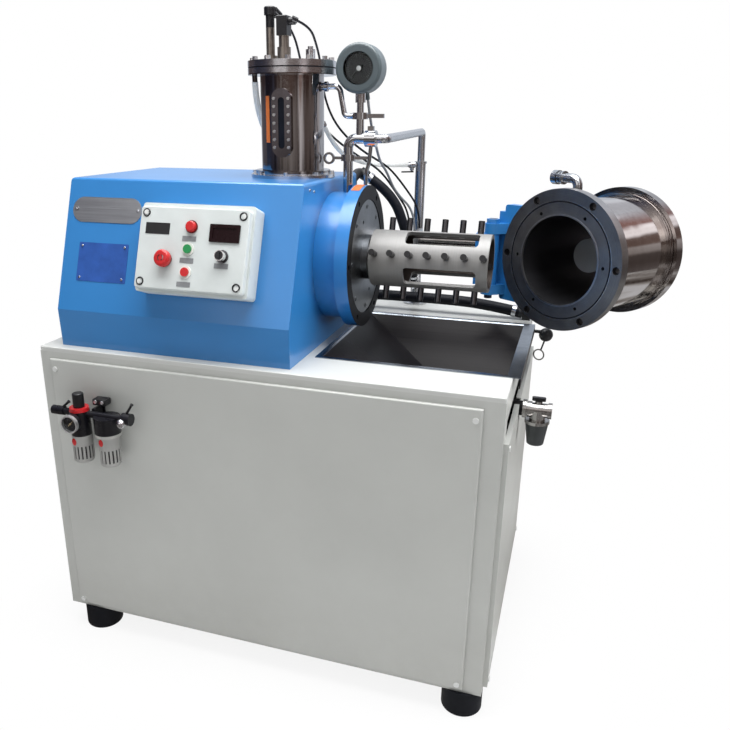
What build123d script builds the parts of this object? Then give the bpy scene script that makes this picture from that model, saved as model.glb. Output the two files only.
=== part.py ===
from build123d import *
import os
from math import cos, radians, sin, sqrt, tan

# Horizontal pin bead mill, grinding chamber swung open.  Millimetres.
# X runs along the shaft towards the chamber, Y to the back, Z up.
# The origin is on the floor at the centre of the four feet.

os.makedirs("parts", exist_ok=True)


def save(builder, name):
    builder.part.label = name
    export_step(builder.part, f"parts/{name}.step")


def join(name, *pieces):
    """Save several pieces that are welded or screwed together as one node."""
    with BuildPart() as whole:
        for piece in pieces:
            add(piece.part)
    save(whole, name)


# ---------------------------------------------------------------- sizes
running_gap = 0.05      # radial gap of a shaft, rod or pin in its bore
fit_gap = 0.02          # radial gap of a piece pressed or bolted in
body_gap = 0.3          # gap between two pieces that move apart

# cabinet
cabinet_left = -620.0
cabinet_length = 1212.0
cabinet_depth = 825.0
cabinet_height = 800.0
foot_height = 70.0
foot_radius = 52.0
foot_inset_left = 80.0
foot_inset_right = 52.0
foot_inset_y = 40.0
anchor_hole_radius = 7.0
frame_wall = 4.0
frame_border = 65.0
top_plate_thickness = 12.0
panel_thickness = 3.0
side_panel_stand = 12.0
front_panel_stand = 8.0
panel_inset_left = 32.0
panel_inset_right = 47.0
panel_inset_top = 30.0
panel_inset_bottom = 11.0
screw_head_radius = 7.0
screw_head_height = 3.0

drain_y = -112.0
cabinet_top = foot_height + cabinet_height
drain_pipe_z = cabinet_top - 132.0

# shaft line
shaft_y = -52.0
shaft_z = cabinet_top + 222.0
shaft_radius = 40.0

# drive cover
cover_left = -569.0
cover_right = 79.0
cover_top = cabinet_top + 424.0
cover_top_front = -270.5
cover_back = 166.5
cover_knee_y = -387.0
cover_knee_z = cabinet_top + 99.0
cover_foot_y = -382.5
cover_wall = 3.0
cover_round = 9.0

# bearing housing
housing_back = -200.0
housing_radius = 150.0
housing_bore = 75.0
nose_radius = 166.0
nose_front = 140.0
flange_radius = 184.5
mill_face = 174.0
ring_inner_radius = 148.5
seal_cover_radius = 148.0
seal_cover_back = 156.0
seal_cover_front = 172.0
seal_hub_radius = 58.0
seal_hub_front = 188.0

# rotor
rotor_start = 196.0
rotor_end = 498.0
rotor_radius = 73.0
rotor_wall = 10.0
hub_thickness = 28.0
pin_radius = 8.0
pin_tip_radius = 106.0
pin_pitch = 46.0
pin_first = 212.0
pin_row_angle = 17.0
slot_start = 286.0
slot_end = 470.0
slot_width = 51.0
slot_corner = 10.0
shaft_end_radius = 30.0
shaft_nut_radius = 46.0
shaft_nut_length = 22.0

# chamber
chamber_angle = 55.5     # opening from the shaft line, in degrees
hinge_arm = 222.0        # from the chamber axis to the hinge pin
hinge_setback = 1.0      # from the hinge pin to the mouth plane
hinge_x = 473.0
mouth_radius = 182.0
mouth_thickness = 26.0
bore_radius = 115.0
liner_radius = 119.0
jacket_radius = 150.0
jacket_wall = 4.0
jacket_length = 240.0
collar_radius = 157.0
collar_end = 252.0
rear_flange_start = 264.0
rear_flange_end = 291.0
rear_flange_radius = 172.0
end_cover_radius = 140.0
end_cover_end = 345.0
chamber_depth = 330.0
closing_pcd_radius = 167.0
cover_pcd_radius = 131.0
closing_hole_radius = 7.0
face_groove_radius = 150.0
face_groove_width = 4.0
separator_radius = 45.0
separator_start = 130.0
separator_wall = 4.0
outlet_radius = 19.0
outlet_bore = 15.0
outlet_length = 40.0

# hinge and guides
guide_rod_radius = 15.0
guide_tube_radius = 22.0
guide_z_low = cabinet_top + 175.0
guide_z_high = cabinet_top + 240.0
guide_stage_one = 150.0
tube_start = -30.0
tube_length = 300.0
yoke_thickness = 12.0
rod_start = 190.0
block_start = 430.0
hinge_pin_radius = 11.0
knuckle_radius = 20.0
knuckle_low = cabinet_top + 125.0
knuckle_high = cabinet_top + 267.0
lug_thickness = 28.0
guide_housing_back = -200.0
guide_housing_front = 107.0
guide_housing_wall = 14.0

# derived places
cabinet_right = cabinet_left + cabinet_length
cabinet_front = -cabinet_depth / 2
cabinet_back = cabinet_depth / 2
cabinet_mid_x = cabinet_left + cabinet_length / 2
plate_bottom = cabinet_top - top_plate_thickness
hinge_y = shaft_y + hinge_arm
guide_mid_z = (guide_z_low + guide_z_high) / 2
closed_stroke = hinge_x + hinge_setback - mill_face - body_gap

# unit vectors along the open chamber and from its axis to the hinge
axis_dir = Vector(cos(radians(chamber_angle)), sin(radians(chamber_angle)), 0)
side_dir = Vector(-sin(radians(chamber_angle)), cos(radians(chamber_angle)), 0)
hinge_point = Vector(hinge_x, hinge_y, shaft_z)
mouth_centre = hinge_point + axis_dir * hinge_setback - side_dir * hinge_arm
# in the chamber plane x points to the hinge, y up and z into the chamber
chamber_plane = Plane(origin=mouth_centre, x_dir=side_dir, z_dir=axis_dir)
# in the shaft plane x points to the back, y up and z along the shaft
shaft_plane = Plane(origin=(0, shaft_y, shaft_z), x_dir=(0, 1, 0), z_dir=(1, 0, 0))

slope = Vector(0, cover_top_front - cover_knee_y, cover_top - cover_knee_z).normalized()
face_out = Vector(0, -slope.Z, slope.Y)
# on the sloped face x runs along the machine, y up the slope and z outwards
face_plane = Plane(origin=(0, cover_top_front, cover_top), x_dir=(1, 0, 0), z_dir=face_out)


def on_deck(points):
    """Points whose heights are given from the deck up, as points of the machine."""
    return [(x, y, z + cabinet_top) for x, y, z in points]


def box(x0, x1, y0, y1, z0, z1, mode=Mode.ADD):
    """A box between two corners, inside the builder that is open."""
    with Locations(((x0 + x1) / 2, (y0 + y1) / 2, (z0 + z1) / 2)):
        Box(x1 - x0, y1 - y0, z1 - z0, mode=mode)


def ring(plane, start, end, outer, inner=0.0, mode=Mode.ADD):
    """A disc or ring along a plane's normal, inside the builder that is open."""
    with BuildSketch(plane.offset(start)) as outline:
        Circle(outer)
        if inner:
            Circle(inner, mode=Mode.SUBTRACT)
    extrude(outline.sketch, amount=end - start, mode=mode)


def tube(points, radii, outer, inner=0.0):
    """A pipe along straight runs joined by tangent arcs, inside the builder that is open."""
    with BuildLine() as path:
        FilletPolyline(*points, radius=radii)
    with BuildSketch(Plane(origin=path.line @ 0, z_dir=path.line % 0)) as outline:
        Circle(outer)
        if inner:
            Circle(inner, mode=Mode.SUBTRACT)
    sweep(outline.sketch, path=path.line)


# ---------------------------------------------------------------- cabinet
with BuildPart() as cabinet_frame:
    box(cabinet_left, cabinet_right, cabinet_front, cabinet_back, foot_height, plate_bottom)
    box(cabinet_left + frame_wall, cabinet_right - frame_wall, cabinet_front + frame_wall,
        cabinet_back - frame_wall, foot_height + frame_wall, plate_bottom, mode=Mode.SUBTRACT)
    window_low = foot_height + frame_border
    window_high = plate_bottom - frame_border
    # front and back windows
    box(cabinet_left + frame_border, cabinet_right - frame_border, cabinet_front, cabinet_back,
        window_low, window_high, mode=Mode.SUBTRACT)
    # left and right windows
    box(cabinet_left, cabinet_right, cabinet_front + frame_border, cabinet_back - frame_border,
        window_low, window_high, mode=Mode.SUBTRACT)
    # the tray's drain passes out through a hole high in the right wall
    box(cabinet_right - frame_wall, cabinet_right, drain_y - 24, drain_y + 24, drain_pipe_z - 24,
        drain_pipe_z + 24, mode=Mode.SUBTRACT)
    # two plinth rails carry the motor
    rail_width = 70.0
    rail_height = 106.0
    rail_reach = 190.0
    rail_wall = 6.0
    for rail_x in (-290.0, -70.0):
        rail_low = foot_height + frame_wall
        box(rail_x - rail_width / 2, rail_x + rail_width / 2, shaft_y - rail_reach,
            shaft_y + rail_reach, rail_low, rail_low + rail_height)
        box(rail_x - rail_width / 2 + rail_wall, rail_x + rail_width / 2 - rail_wall,
            shaft_y - rail_reach, shaft_y + rail_reach, rail_low, rail_low + rail_height - rail_wall,
            mode=Mode.SUBTRACT)
save(cabinet_frame, "cabinet_frame")

motor_base_z = foot_height + frame_wall + rail_height

# drip tray opening and belt slot
tray_left = 104.0
tray_right = 609.0
tray_front = -274.0
tray_back = 228.0
tray_lip = 12.0
tray_wall = 2.0
tray_floor = cabinet_top - 163.0
pulley_start = -500.0
pulley_width = 106.0
belt_slot_half = 165.0
with BuildPart() as top_plate:
    box(cabinet_left, cabinet_right, cabinet_front, cabinet_back, plate_bottom, cabinet_top)
    fillet(top_plate.edges().filter_by(Axis.Z), radius=4)
    fillet(top_plate.faces().sort_by(Axis.Z)[-1].edges(), radius=3)
    box(tray_left + tray_lip - 5, cabinet_right, tray_front + tray_lip - 1, tray_back - tray_lip + 1,
        plate_bottom, cabinet_top, mode=Mode.SUBTRACT)
    box(pulley_start - 12, pulley_start + pulley_width + 12, shaft_y - belt_slot_half,
        shaft_y + belt_slot_half, plate_bottom, cabinet_top, mode=Mode.SUBTRACT)
save(top_plate, "top_plate")

# raised cover panels, each held by screws near its corners
screw_spots = []


def panel_screw(spot, outward):
    screw_spots.append(Plane(origin=spot, z_dir=outward))


front_left = cabinet_left + panel_inset_left
front_right = cabinet_right - panel_inset_right
panel_low = foot_height + panel_inset_bottom
panel_high = cabinet_top - panel_inset_top
screw_inset = 15.0
# the front panel is a shallow pan with rolled edges, open at the back
with BuildPart() as front_panel:
    box(front_left, front_right, cabinet_front - front_panel_stand, cabinet_front, panel_low, panel_high)
    fillet(front_panel.faces().sort_by(Axis.Y)[0].edges(), radius=4)
    box(front_left + panel_thickness, front_right - panel_thickness, cabinet_front - front_panel_stand + panel_thickness,
        cabinet_front, panel_low + panel_thickness, panel_high - panel_thickness, mode=Mode.SUBTRACT)
for spot_x in (front_left + screw_inset, front_right - screw_inset):
    for spot_z in (panel_low + screw_inset, panel_high - screw_inset - 12):
        panel_screw((spot_x, cabinet_front - front_panel_stand, spot_z), (0, -1, 0))

with BuildPart() as rear_panel:
    box(front_left, front_right, cabinet_back, cabinet_back + panel_thickness, panel_low, panel_high)
    # louvres let the motor's warm air out
    with BuildSketch(Plane.XZ.offset(-cabinet_back - panel_thickness)):
        with Locations((-200.0, 620.0)):
            with GridLocations(260.0, 24.0, 2, 8):
                SlotOverall(210.0, 9.0)
    extrude(amount=panel_thickness, mode=Mode.SUBTRACT)
for spot_x in (front_left + screw_inset, front_right - screw_inset):
    for spot_z in (panel_low + screw_inset, panel_high - screw_inset):
        panel_screw((spot_x, cabinet_back + panel_thickness, spot_z), (0, 1, 0))

side_front = cabinet_front + 14.0
side_back = cabinet_back - 14.0
with BuildPart() as left_panel:
    box(cabinet_left - panel_thickness, cabinet_left, side_front, side_back, panel_low, panel_high)
for spot_y in (side_front + screw_inset, side_back - screw_inset):
    for spot_z in (panel_low + screw_inset, panel_high - screw_inset):
        panel_screw((cabinet_left - panel_thickness, spot_y, spot_z), (-1, 0, 0))

# the right panel is a shallow pan that stands off the frame
right_low = foot_height + 20.0
side_panel_high = cabinet_top - 114.0
with BuildPart() as right_panel:
    box(cabinet_right, cabinet_right + side_panel_stand, side_front, side_back, right_low, side_panel_high)
    box(cabinet_right, cabinet_right + side_panel_stand - panel_thickness, side_front + panel_thickness,
        side_back - panel_thickness, right_low + panel_thickness, side_panel_high - panel_thickness,
        mode=Mode.SUBTRACT)
    # notch for the tray's outlet pipe
    box(cabinet_right, cabinet_right + side_panel_stand, drain_y - 24, drain_y + 24, drain_pipe_z - 24,
        side_panel_high, mode=Mode.SUBTRACT)
for spot_y in (side_front + screw_inset, side_back - screw_inset):
    for spot_z in (right_low + screw_inset, side_panel_high - screw_inset):
        panel_screw((cabinet_right + side_panel_stand, spot_y, spot_z), (1, 0, 0))

with BuildPart() as panel_screws:
    for spot in screw_spots:
        ring(spot, 0, screw_head_height, screw_head_radius)

with BuildPart() as rubber_feet:
    foot_spots = []
    for foot_x in (cabinet_left + foot_inset_left, cabinet_right - foot_inset_right):
        for foot_y in (cabinet_front + foot_inset_y, cabinet_back - foot_inset_y):
            foot_spots.append((foot_x, foot_y))
    with BuildSketch(Plane.XY):
        with Locations(*foot_spots):
            Circle(foot_radius)
    extrude(amount=foot_height)
    fillet(rubber_feet.faces().group_by(Axis.Z)[0].edges(), radius=6)
    with BuildSketch(Plane.XY):
        with Locations(*foot_spots):
            Circle(anchor_hole_radius)
    extrude(amount=foot_height - 10, mode=Mode.SUBTRACT)
save(rubber_feet, "rubber_feet")

# ---------------------------------------------------------------- drip tray and drain
tray_hem = 24.0
drain_x = 650.0
drain_end = 612.0
drain_pipe_radius = 19.0
drain_wall = 2.5
sump_left = 430.0
sump_right = 584.0
sump_front = -190.0
sump_back = -34.0
with BuildPart() as drip_tray:
    with BuildSketch(Plane.XY.offset(cabinet_top)):
        with Locations(((tray_left + cabinet_right - tray_lip) / 2 + 4, (tray_front + tray_back) / 2)):
            Rectangle(cabinet_right - tray_left - tray_lip - 8, tray_back - tray_front - 2 * tray_lip)
    with BuildSketch(Plane.XY.offset(tray_floor)):
        with Locations(((sump_left + sump_right) / 2, (sump_front + sump_back) / 2)):
            Rectangle(sump_right - sump_left, sump_back - sump_front)
    loft(ruled=True)
    # rolled lip that rests on the top plate, and an apron over its right edge
    box(tray_left, tray_right, tray_front, tray_back, cabinet_top, cabinet_top + tray_wall)
    box(tray_right - tray_wall, tray_right, tray_front, tray_back, cabinet_top - tray_hem, cabinet_top)
    with BuildSketch(Plane.XY.offset(cabinet_top + tray_wall)):
        with Locations(((tray_left + cabinet_right - tray_lip) / 2 + 4, (tray_front + tray_back) / 2)):
            Rectangle(cabinet_right - tray_left - tray_lip - 8 - 2 * tray_wall,
                      tray_back - tray_front - 2 * tray_lip - 2 * tray_wall)
    with BuildSketch(Plane.XY.offset(tray_floor + tray_wall)):
        with Locations(((sump_left + sump_right) / 2, (sump_front + sump_back) / 2)):
            Rectangle(sump_right - sump_left - 2 * tray_wall, sump_back - sump_front - 2 * tray_wall)
    loft(ruled=True, mode=Mode.SUBTRACT)
    # outlet pipe from the sump, through the slot in the right wall
    drain_plane = Plane(origin=(0, drain_y, drain_pipe_z), x_dir=(0, 1, 0), z_dir=(1, 0, 0))
    ring(drain_plane, sump_right - 6, drain_end, drain_pipe_radius)
    ring(drain_plane, sump_right - 14, drain_end, drain_pipe_radius - drain_wall, mode=Mode.SUBTRACT)
save(drip_tray, "drip_tray")

# drain cock on the outlet pipe, with its strainer bowl below
cock_radius = 18.0
cock_end = 684.0
collar_height = 2.5
outlet_pipe_radius = 15.0
cock_stem_radius = 5.0
bowl_rim_radius = 31.0
bowl_foot_radius = 21.0
bowl_rim_z = drain_pipe_z - 26.0
bowl_foot_z = drain_pipe_z - 93.0
drain_line = Plane(origin=(drain_x, drain_y, 0))
with BuildPart() as drain_cock:
    ring(drain_plane, drain_end, drain_end + 10, 24)
    ring(drain_plane, drain_end, cock_end, cock_radius)
    for collar_start in (drain_end + 12, cock_end - 10):
        ring(drain_plane, collar_start, collar_start + 10, cock_radius + collar_height)
    ring(drain_line, bowl_rim_z - 8, drain_pipe_z, 20)
    ring(drain_line, bowl_rim_z - 8, bowl_rim_z, bowl_rim_radius)
    with Locations((drain_x, drain_y, (bowl_rim_z - 8 + bowl_foot_z) / 2)):
        Cone(bowl_foot_radius, bowl_rim_radius - 2, bowl_rim_z - 8 - bowl_foot_z)
    fillet(drain_cock.faces().sort_by(Axis.Z)[0].edges(), radius=4)
    ring(drain_line, drain_pipe_z, drain_pipe_z + cock_radius + 6, 9)
    ring(drain_plane, drain_end, drain_x + 6, drain_pipe_radius - drain_wall, mode=Mode.SUBTRACT)
    ring(drain_line, bowl_foot_z, drain_pipe_z, outlet_pipe_radius, mode=Mode.SUBTRACT)
    ring(drain_line, drain_pipe_z + cock_radius - 6, drain_pipe_z + cock_radius + 6,
         cock_stem_radius + running_gap, mode=Mode.SUBTRACT)
handle_low = drain_pipe_z + cock_radius + 7
with BuildPart() as drain_handle:
    ring(drain_line, drain_pipe_z + cock_radius - 4, handle_low + 2, cock_stem_radius)
    with BuildSketch(Plane.XY.offset(handle_low)):
        with Locations((drain_x, drain_y)):
            SlotOverall(34, 12)
    extrude(amount=9)
save(drain_handle, "drain_handle")

# ---------------------------------------------------------------- drive cover
guide_hole_low = guide_z_low - guide_tube_radius - guide_housing_wall - 2
guide_hole_high = guide_z_high + guide_tube_radius + guide_housing_wall + 2
guide_front_y = hinge_y - guide_tube_radius - guide_housing_wall
guide_back_y = hinge_y + guide_tube_radius + guide_housing_wall
with BuildPart() as drive_cover:
    with BuildSketch(Plane.YZ.offset(cover_left)):
        with BuildLine():
            Polyline((cover_foot_y, cabinet_top), (cover_knee_y, cover_knee_z),
                     (cover_top_front, cover_top), (cover_back, cover_top), (cover_back, cabinet_top),
                     close=True)
        make_face()
    extrude(amount=cover_right - cover_left)
    fillet(drive_cover.edges().filter_by(Axis.Z), radius=cover_round)
    fillet(drive_cover.faces().sort_by(Axis.Z)[-1].edges(), radius=cover_round)
    offset(amount=-cover_wall, openings=drive_cover.faces().sort_by(Axis.Z)[0])
    # the bearing nose, the chamber guides, the tank pipe and the shaft oiler pass through
    ring(shaft_plane, cover_right - 20, cover_right + 5, nose_radius - 10, mode=Mode.SUBTRACT)
    box(guide_housing_back - 3, cover_right + 1, guide_front_y - 2, cover_back + 1,
        guide_hole_low, guide_hole_high, mode=Mode.SUBTRACT)
save(drive_cover, "drive_cover")

# plates riveted to the sloping front
rivet_spots = [(-540, -80), (-362, -78)]
with BuildPart() as name_plate:
    with BuildSketch(face_plane):
        with Locations((-451, -82)):
            SlotOverall(204, 65)
    extrude(amount=1.2)
    with BuildSketch(face_plane.offset(1.2)):
        with Locations(*rivet_spots):
            Circle(4)
    extrude(amount=1.5)
with BuildPart() as data_plate:
    with BuildSketch(face_plane):
        with Locations((-449, -217)):
            RectangleRounded(146, 100, 3)
    extrude(amount=1.0)

# ---------------------------------------------------------------- control box
box_left = -313.0
box_right = -14.0
box_low = -286.0
box_high = -69.0
box_depth = 50.0
box_wall = 3.0
lid_left = -307.0
lid_right = -20.0
lid_low = -279.0
lid_high = -81.0
lid_face = 68.0
box_mid = ((box_left + box_right) / 2, (box_low + box_high) / 2)
lid_mid = ((lid_left + lid_right) / 2, (lid_low + lid_high) / 2)
bezel_radius = 15.5
button_radius = 10.5
button_travel = 3.0
start_spot = (-170.0, -180.0)
stop_spot = (-171.0, -235.0)
lamp_spot = (-166.0, -127.0)
lamp_radius = 13.0
estop_spot = (-228.0, -207.0)
estop_radius = 20.5
estop_stem_radius = 8.0
estop_travel = 4.0
knob_spot = (-79.0, -193.0)
knob_radius = 12.5
knob_shaft_radius = 3.0
display_mid = (-78.5, -139.0)
display_width = 77.0
display_height = 42.0
with BuildPart() as control_box:
    with BuildSketch(face_plane):
        with Locations(box_mid):
            RectangleRounded(box_right - box_left, box_high - box_low, 8)
    extrude(amount=box_depth)
    with BuildSketch(face_plane.offset(box_wall)):
        with Locations(box_mid):
            RectangleRounded(box_right - box_left - 2 * box_wall, box_high - box_low - 2 * box_wall, 6)
    extrude(amount=box_depth - 2 * box_wall, mode=Mode.SUBTRACT)
    # the opening is smaller than the lid, so the lid seats on a rim
    with BuildSketch(face_plane.offset(box_wall)):
        with Locations(lid_mid):
            RectangleRounded(lid_right - lid_left - 2 * box_wall, lid_high - lid_low - 2 * box_wall, 5)
    extrude(amount=box_depth, mode=Mode.SUBTRACT)
save(control_box, "control_box")
with BuildPart() as control_lid:
    with BuildSketch(face_plane.offset(box_depth)):
        with Locations(lid_mid):
            RectangleRounded(lid_right - lid_left, lid_high - lid_low, 8)
    extrude(amount=lid_face - box_depth)
    fillet(control_lid.faces().sort_by(Axis(origin=(0, 0, 0), direction=face_out))[-1].edges(), radius=3)
    with BuildSketch(face_plane.offset(box_depth)):
        with Locations(lid_mid):
            RectangleRounded(lid_right - lid_left - 2 * box_wall, lid_high - lid_low - 2 * box_wall, 5)
    extrude(amount=lid_face - box_depth - box_wall, mode=Mode.SUBTRACT)
    # holes for the parts it carries
    with BuildSketch(face_plane.offset(lid_face - 10)):
        with Locations(start_spot, stop_spot):
            Circle(button_radius + running_gap)
        with Locations(lamp_spot):
            Circle(lamp_radius - 3)
        with Locations(estop_spot):
            Circle(estop_stem_radius + running_gap)
        with Locations(knob_spot):
            Circle(knob_shaft_radius + running_gap)
        with Locations(display_mid):
            Rectangle(display_width - 8, display_height - 8)
    extrude(amount=20, mode=Mode.SUBTRACT)
save(control_lid, "control_lid")
with BuildPart() as lid_screws:
    with BuildSketch(face_plane.offset(lid_face)):
        with Locations((-292, -95), (-32, -96), (-295, -264), (-33, -266)):
            Circle(6)
    extrude(amount=1.5)
with BuildPart() as label_strips:
    with BuildSketch(face_plane.offset(lid_face)):
        with Locations((-170, -155), (-171, -207), (-173, -264), (-80, -215)):
            Rectangle(36, 12)
        with Locations((-257, -134)):
            Rectangle(65, 27)
    extrude(amount=0.8)
with BuildPart() as meter_display:
    with BuildSketch(face_plane.offset(lid_face)):
        with Locations(display_mid):
            RectangleRounded(display_width, display_height, 2)
    extrude(amount=4)
    with BuildSketch(face_plane.offset(lid_face - 16)):
        with Locations(display_mid):
            Rectangle(display_width - 8 - 2 * fit_gap, display_height - 8 - 2 * fit_gap)
    extrude(amount=17)
    with BuildSketch(face_plane.offset(lid_face + 4)):
        with Locations(display_mid):
            Rectangle(display_width - 16, display_height - 16)
    extrude(amount=-2.5, mode=Mode.SUBTRACT)
save(meter_display, "meter_display")
with BuildPart() as button_bezels:
    with BuildSketch(face_plane.offset(lid_face)):
        with Locations(start_spot, stop_spot):
            Circle(bezel_radius)
            Circle(button_radius + running_gap, mode=Mode.SUBTRACT)
        with Locations(estop_spot):
            Circle(bezel_radius + 2)
            Circle(estop_stem_radius + running_gap, mode=Mode.SUBTRACT)
        with Locations(knob_spot):
            Circle(bezel_radius)
            Circle(knob_shaft_radius + running_gap, mode=Mode.SUBTRACT)
        with Locations(lamp_spot):
            Circle(bezel_radius)
            Circle(lamp_radius - 3, mode=Mode.SUBTRACT)
    extrude(amount=3)
save(button_bezels, "button_bezels")


def plane_at(spot):
    return Plane(origin=face_plane.from_local_coords((spot[0], spot[1], 0)), x_dir=(1, 0, 0),
                 z_dir=face_out)


lamp_plane = plane_at(lamp_spot)
with BuildPart() as signal_lamp:
    ring(lamp_plane, lid_face - 8, lid_face + 3, lamp_radius - 3 - fit_gap)
    ring(lamp_plane, lid_face + 3, lid_face + 12, lamp_radius)
    fillet(signal_lamp.faces().sort_by(Axis(origin=(0, 0, 0), direction=face_out))[-1].edges(), radius=4)
save(signal_lamp, "signal_lamp")
with BuildPart() as start_button:
    ring(plane_at(start_spot), lid_face - 6, lid_face + 7, button_radius)
save(start_button, "start_button")
with BuildPart() as stop_button:
    ring(plane_at(stop_spot), lid_face - 6, lid_face + 7, button_radius)
save(stop_button, "stop_button")
estop_plane = plane_at(estop_spot)
with BuildPart() as estop_head:
    ring(estop_plane, lid_face - 12, lid_face + 10, estop_stem_radius)
    ring(estop_plane, lid_face + 9, lid_face + 24, estop_radius)
    fillet(estop_head.faces().sort_by(Axis(origin=(0, 0, 0), direction=face_out))[-1].edges(), radius=7)
save(estop_head, "estop_head")
knob_plane = plane_at(knob_spot)
with BuildPart() as speed_knob:
    ring(knob_plane, lid_face - 12, lid_face + 4, knob_shaft_radius)
    ring(knob_plane, lid_face + 3.5, lid_face + 20, knob_radius)
    # pointer rib across the top
    with BuildSketch(knob_plane.offset(lid_face + 20)):
        Rectangle(4, 2 * knob_radius - 2)
    extrude(amount=3)
save(speed_knob, "speed_knob")

# ---------------------------------------------------------------- bearing housing and shaft
bearing_width = 40.0
bearing_back = -190.0
bearing_front = 60.0
seal_length = 50.0
seal_bolt_pcd_radius = 132.0
closing_angles = [30 + 60 * step for step in range(6)]
with BuildPart() as bearing_housing:
    ring(shaft_plane, housing_back, cover_right - 18, housing_radius)
    ring(shaft_plane, cover_right - 18, nose_front, nose_radius - 12)
    ring(shaft_plane, cover_right + body_gap, nose_front, nose_radius)
    ring(shaft_plane, nose_front, mill_face, flange_radius)
    # pedestal under it and a pad that carries the chamber guides
    box(housing_back, 60, shaft_y - 120, shaft_y + 120, cabinet_top, cabinet_top + 18)
    box(housing_back, housing_back + 24, shaft_y - 110, shaft_y + 110, cabinet_top + 18, shaft_z)
    box(36, 60, shaft_y - 110, shaft_y + 110, cabinet_top + 18, shaft_z)
    box(-150, 40, shaft_y + 60, guide_front_y, guide_mid_z - 50, guide_mid_z + 50)
    ring(shaft_plane, housing_back, mill_face, housing_bore, mode=Mode.SUBTRACT)
    ring(shaft_plane, seal_cover_back, mill_face, ring_inner_radius, mode=Mode.SUBTRACT)
    with BuildSketch(shaft_plane.offset(mill_face)):
        with PolarLocations(closing_pcd_radius, 6, start_angle=0):
            Circle(closing_hole_radius)
    extrude(amount=-30, mode=Mode.SUBTRACT)
with BuildPart() as seal_cover:
    ring(shaft_plane, seal_cover_back, seal_cover_front, seal_cover_radius)
    ring(shaft_plane, seal_cover_front, seal_hub_front, seal_hub_radius)
    ring(shaft_plane, seal_cover_back, seal_hub_front, shaft_radius + running_gap, mode=Mode.SUBTRACT)
    # a ring of small tapped holes used to draw the cover off
    with BuildSketch(shaft_plane.offset(seal_cover_front)):
        with PolarLocations(100, 4, start_angle=20):
            Circle(5)
    extrude(amount=-10, mode=Mode.SUBTRACT)
with BuildPart() as seal_bolts:
    with BuildSketch(shaft_plane.offset(seal_cover_front)):
        with PolarLocations(seal_bolt_pcd_radius, 8, start_angle=0):
            Circle(6.5)
            Circle(3.5, mode=Mode.SUBTRACT)
    extrude(amount=1.5)
with BuildPart() as shaft_bearings:
    for start in (bearing_back, bearing_front):
        ring(shaft_plane, start, start + bearing_width, housing_bore - fit_gap, shaft_radius + running_gap)
with BuildPart() as shaft_seal:
    ring(shaft_plane, seal_cover_back - seal_length, seal_cover_back, housing_bore - fit_gap,
         shaft_radius + running_gap)
pulley_end = pulley_start + pulley_width
with BuildPart() as main_shaft:
    ring(shaft_plane, pulley_start - 6, rotor_start, shaft_radius)
    ring(shaft_plane, rotor_start, rotor_start + hub_thickness + shaft_nut_length + 6, shaft_end_radius)

# pulleys and belts
belt_count = 4
belt_pitch = 25.0
belt_width = 15.0
belt_height = 10.0
belt_groove = 12.0
shaft_pulley_radius = 120.0
motor_pulley_radius = 75.0
motor_radius = 135.0
motor_start = -330.0
motor_end = -30.0
motor_shaft_radius = 24.0
motor_plate = 12.0
motor_z = motor_base_z + 2 * motor_plate + motor_radius + 14
motor_axis = Plane(origin=(0, shaft_y, motor_z), x_dir=(0, 1, 0), z_dir=(1, 0, 0))
belt_starts = [pulley_start + 8 + belt_pitch * step for step in range(belt_count)]
with BuildPart() as shaft_pulley:
    ring(shaft_plane, pulley_start, pulley_end, shaft_pulley_radius, shaft_radius + fit_gap)
    for start in belt_starts:
        ring(shaft_plane, start, start + belt_width, shaft_pulley_radius + 1,
             shaft_pulley_radius - belt_groove, mode=Mode.SUBTRACT)
save(shaft_pulley, "shaft_pulley")
with BuildPart() as motor_pulley:
    ring(motor_axis, pulley_start, pulley_end, motor_pulley_radius, motor_shaft_radius + fit_gap)
    for start in belt_starts:
        ring(motor_axis, start, start + belt_width, motor_pulley_radius + 1,
             motor_pulley_radius - belt_groove, mode=Mode.SUBTRACT)
with BuildPart() as v_belts:
    for start in belt_starts:
        with BuildSketch(Plane.YZ.offset(start + body_gap)) as belt_loop:
            with Locations((shaft_y, shaft_z)):
                Circle(shaft_pulley_radius)
            with Locations((shaft_y, motor_z)):
                Circle(motor_pulley_radius)
            make_hull()
        with BuildSketch(Plane.YZ.offset(start + body_gap)) as belt_inside:
            with Locations((shaft_y, shaft_z)):
                Circle(shaft_pulley_radius - belt_height)
            with Locations((shaft_y, motor_z)):
                Circle(motor_pulley_radius - belt_height)
            make_hull()
        extrude(belt_loop.sketch, amount=belt_width - 2 * body_gap)
        extrude(belt_inside.sketch, amount=belt_width - 2 * body_gap, mode=Mode.SUBTRACT)
save(v_belts, "v_belts")
with BuildPart() as motor_shaft:
    ring(motor_axis, pulley_start - 6, motor_end - 40, motor_shaft_radius)
motor_half = 120.0
with BuildPart() as motor_base:
    box(motor_start + 15, motor_end - 15, shaft_y - 170, shaft_y + 170, motor_base_z,
        motor_base_z + motor_plate)
with BuildPart() as motor_body:
    ring(motor_axis, motor_start, motor_end, motor_radius)
    for foot_x in (motor_start + 60, motor_end - 100):
        box(foot_x, foot_x + 40, shaft_y - 130, shaft_y + 130, motor_base_z + motor_plate, motor_z - 60)
    ring(motor_axis, motor_start, motor_end - 36, motor_shaft_radius + running_gap, mode=Mode.SUBTRACT)
    box(motor_start + 90, motor_end - 90, shaft_y - 60, shaft_y + 60, motor_z + motor_radius - 12,
        motor_z + motor_radius + 50)

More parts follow.
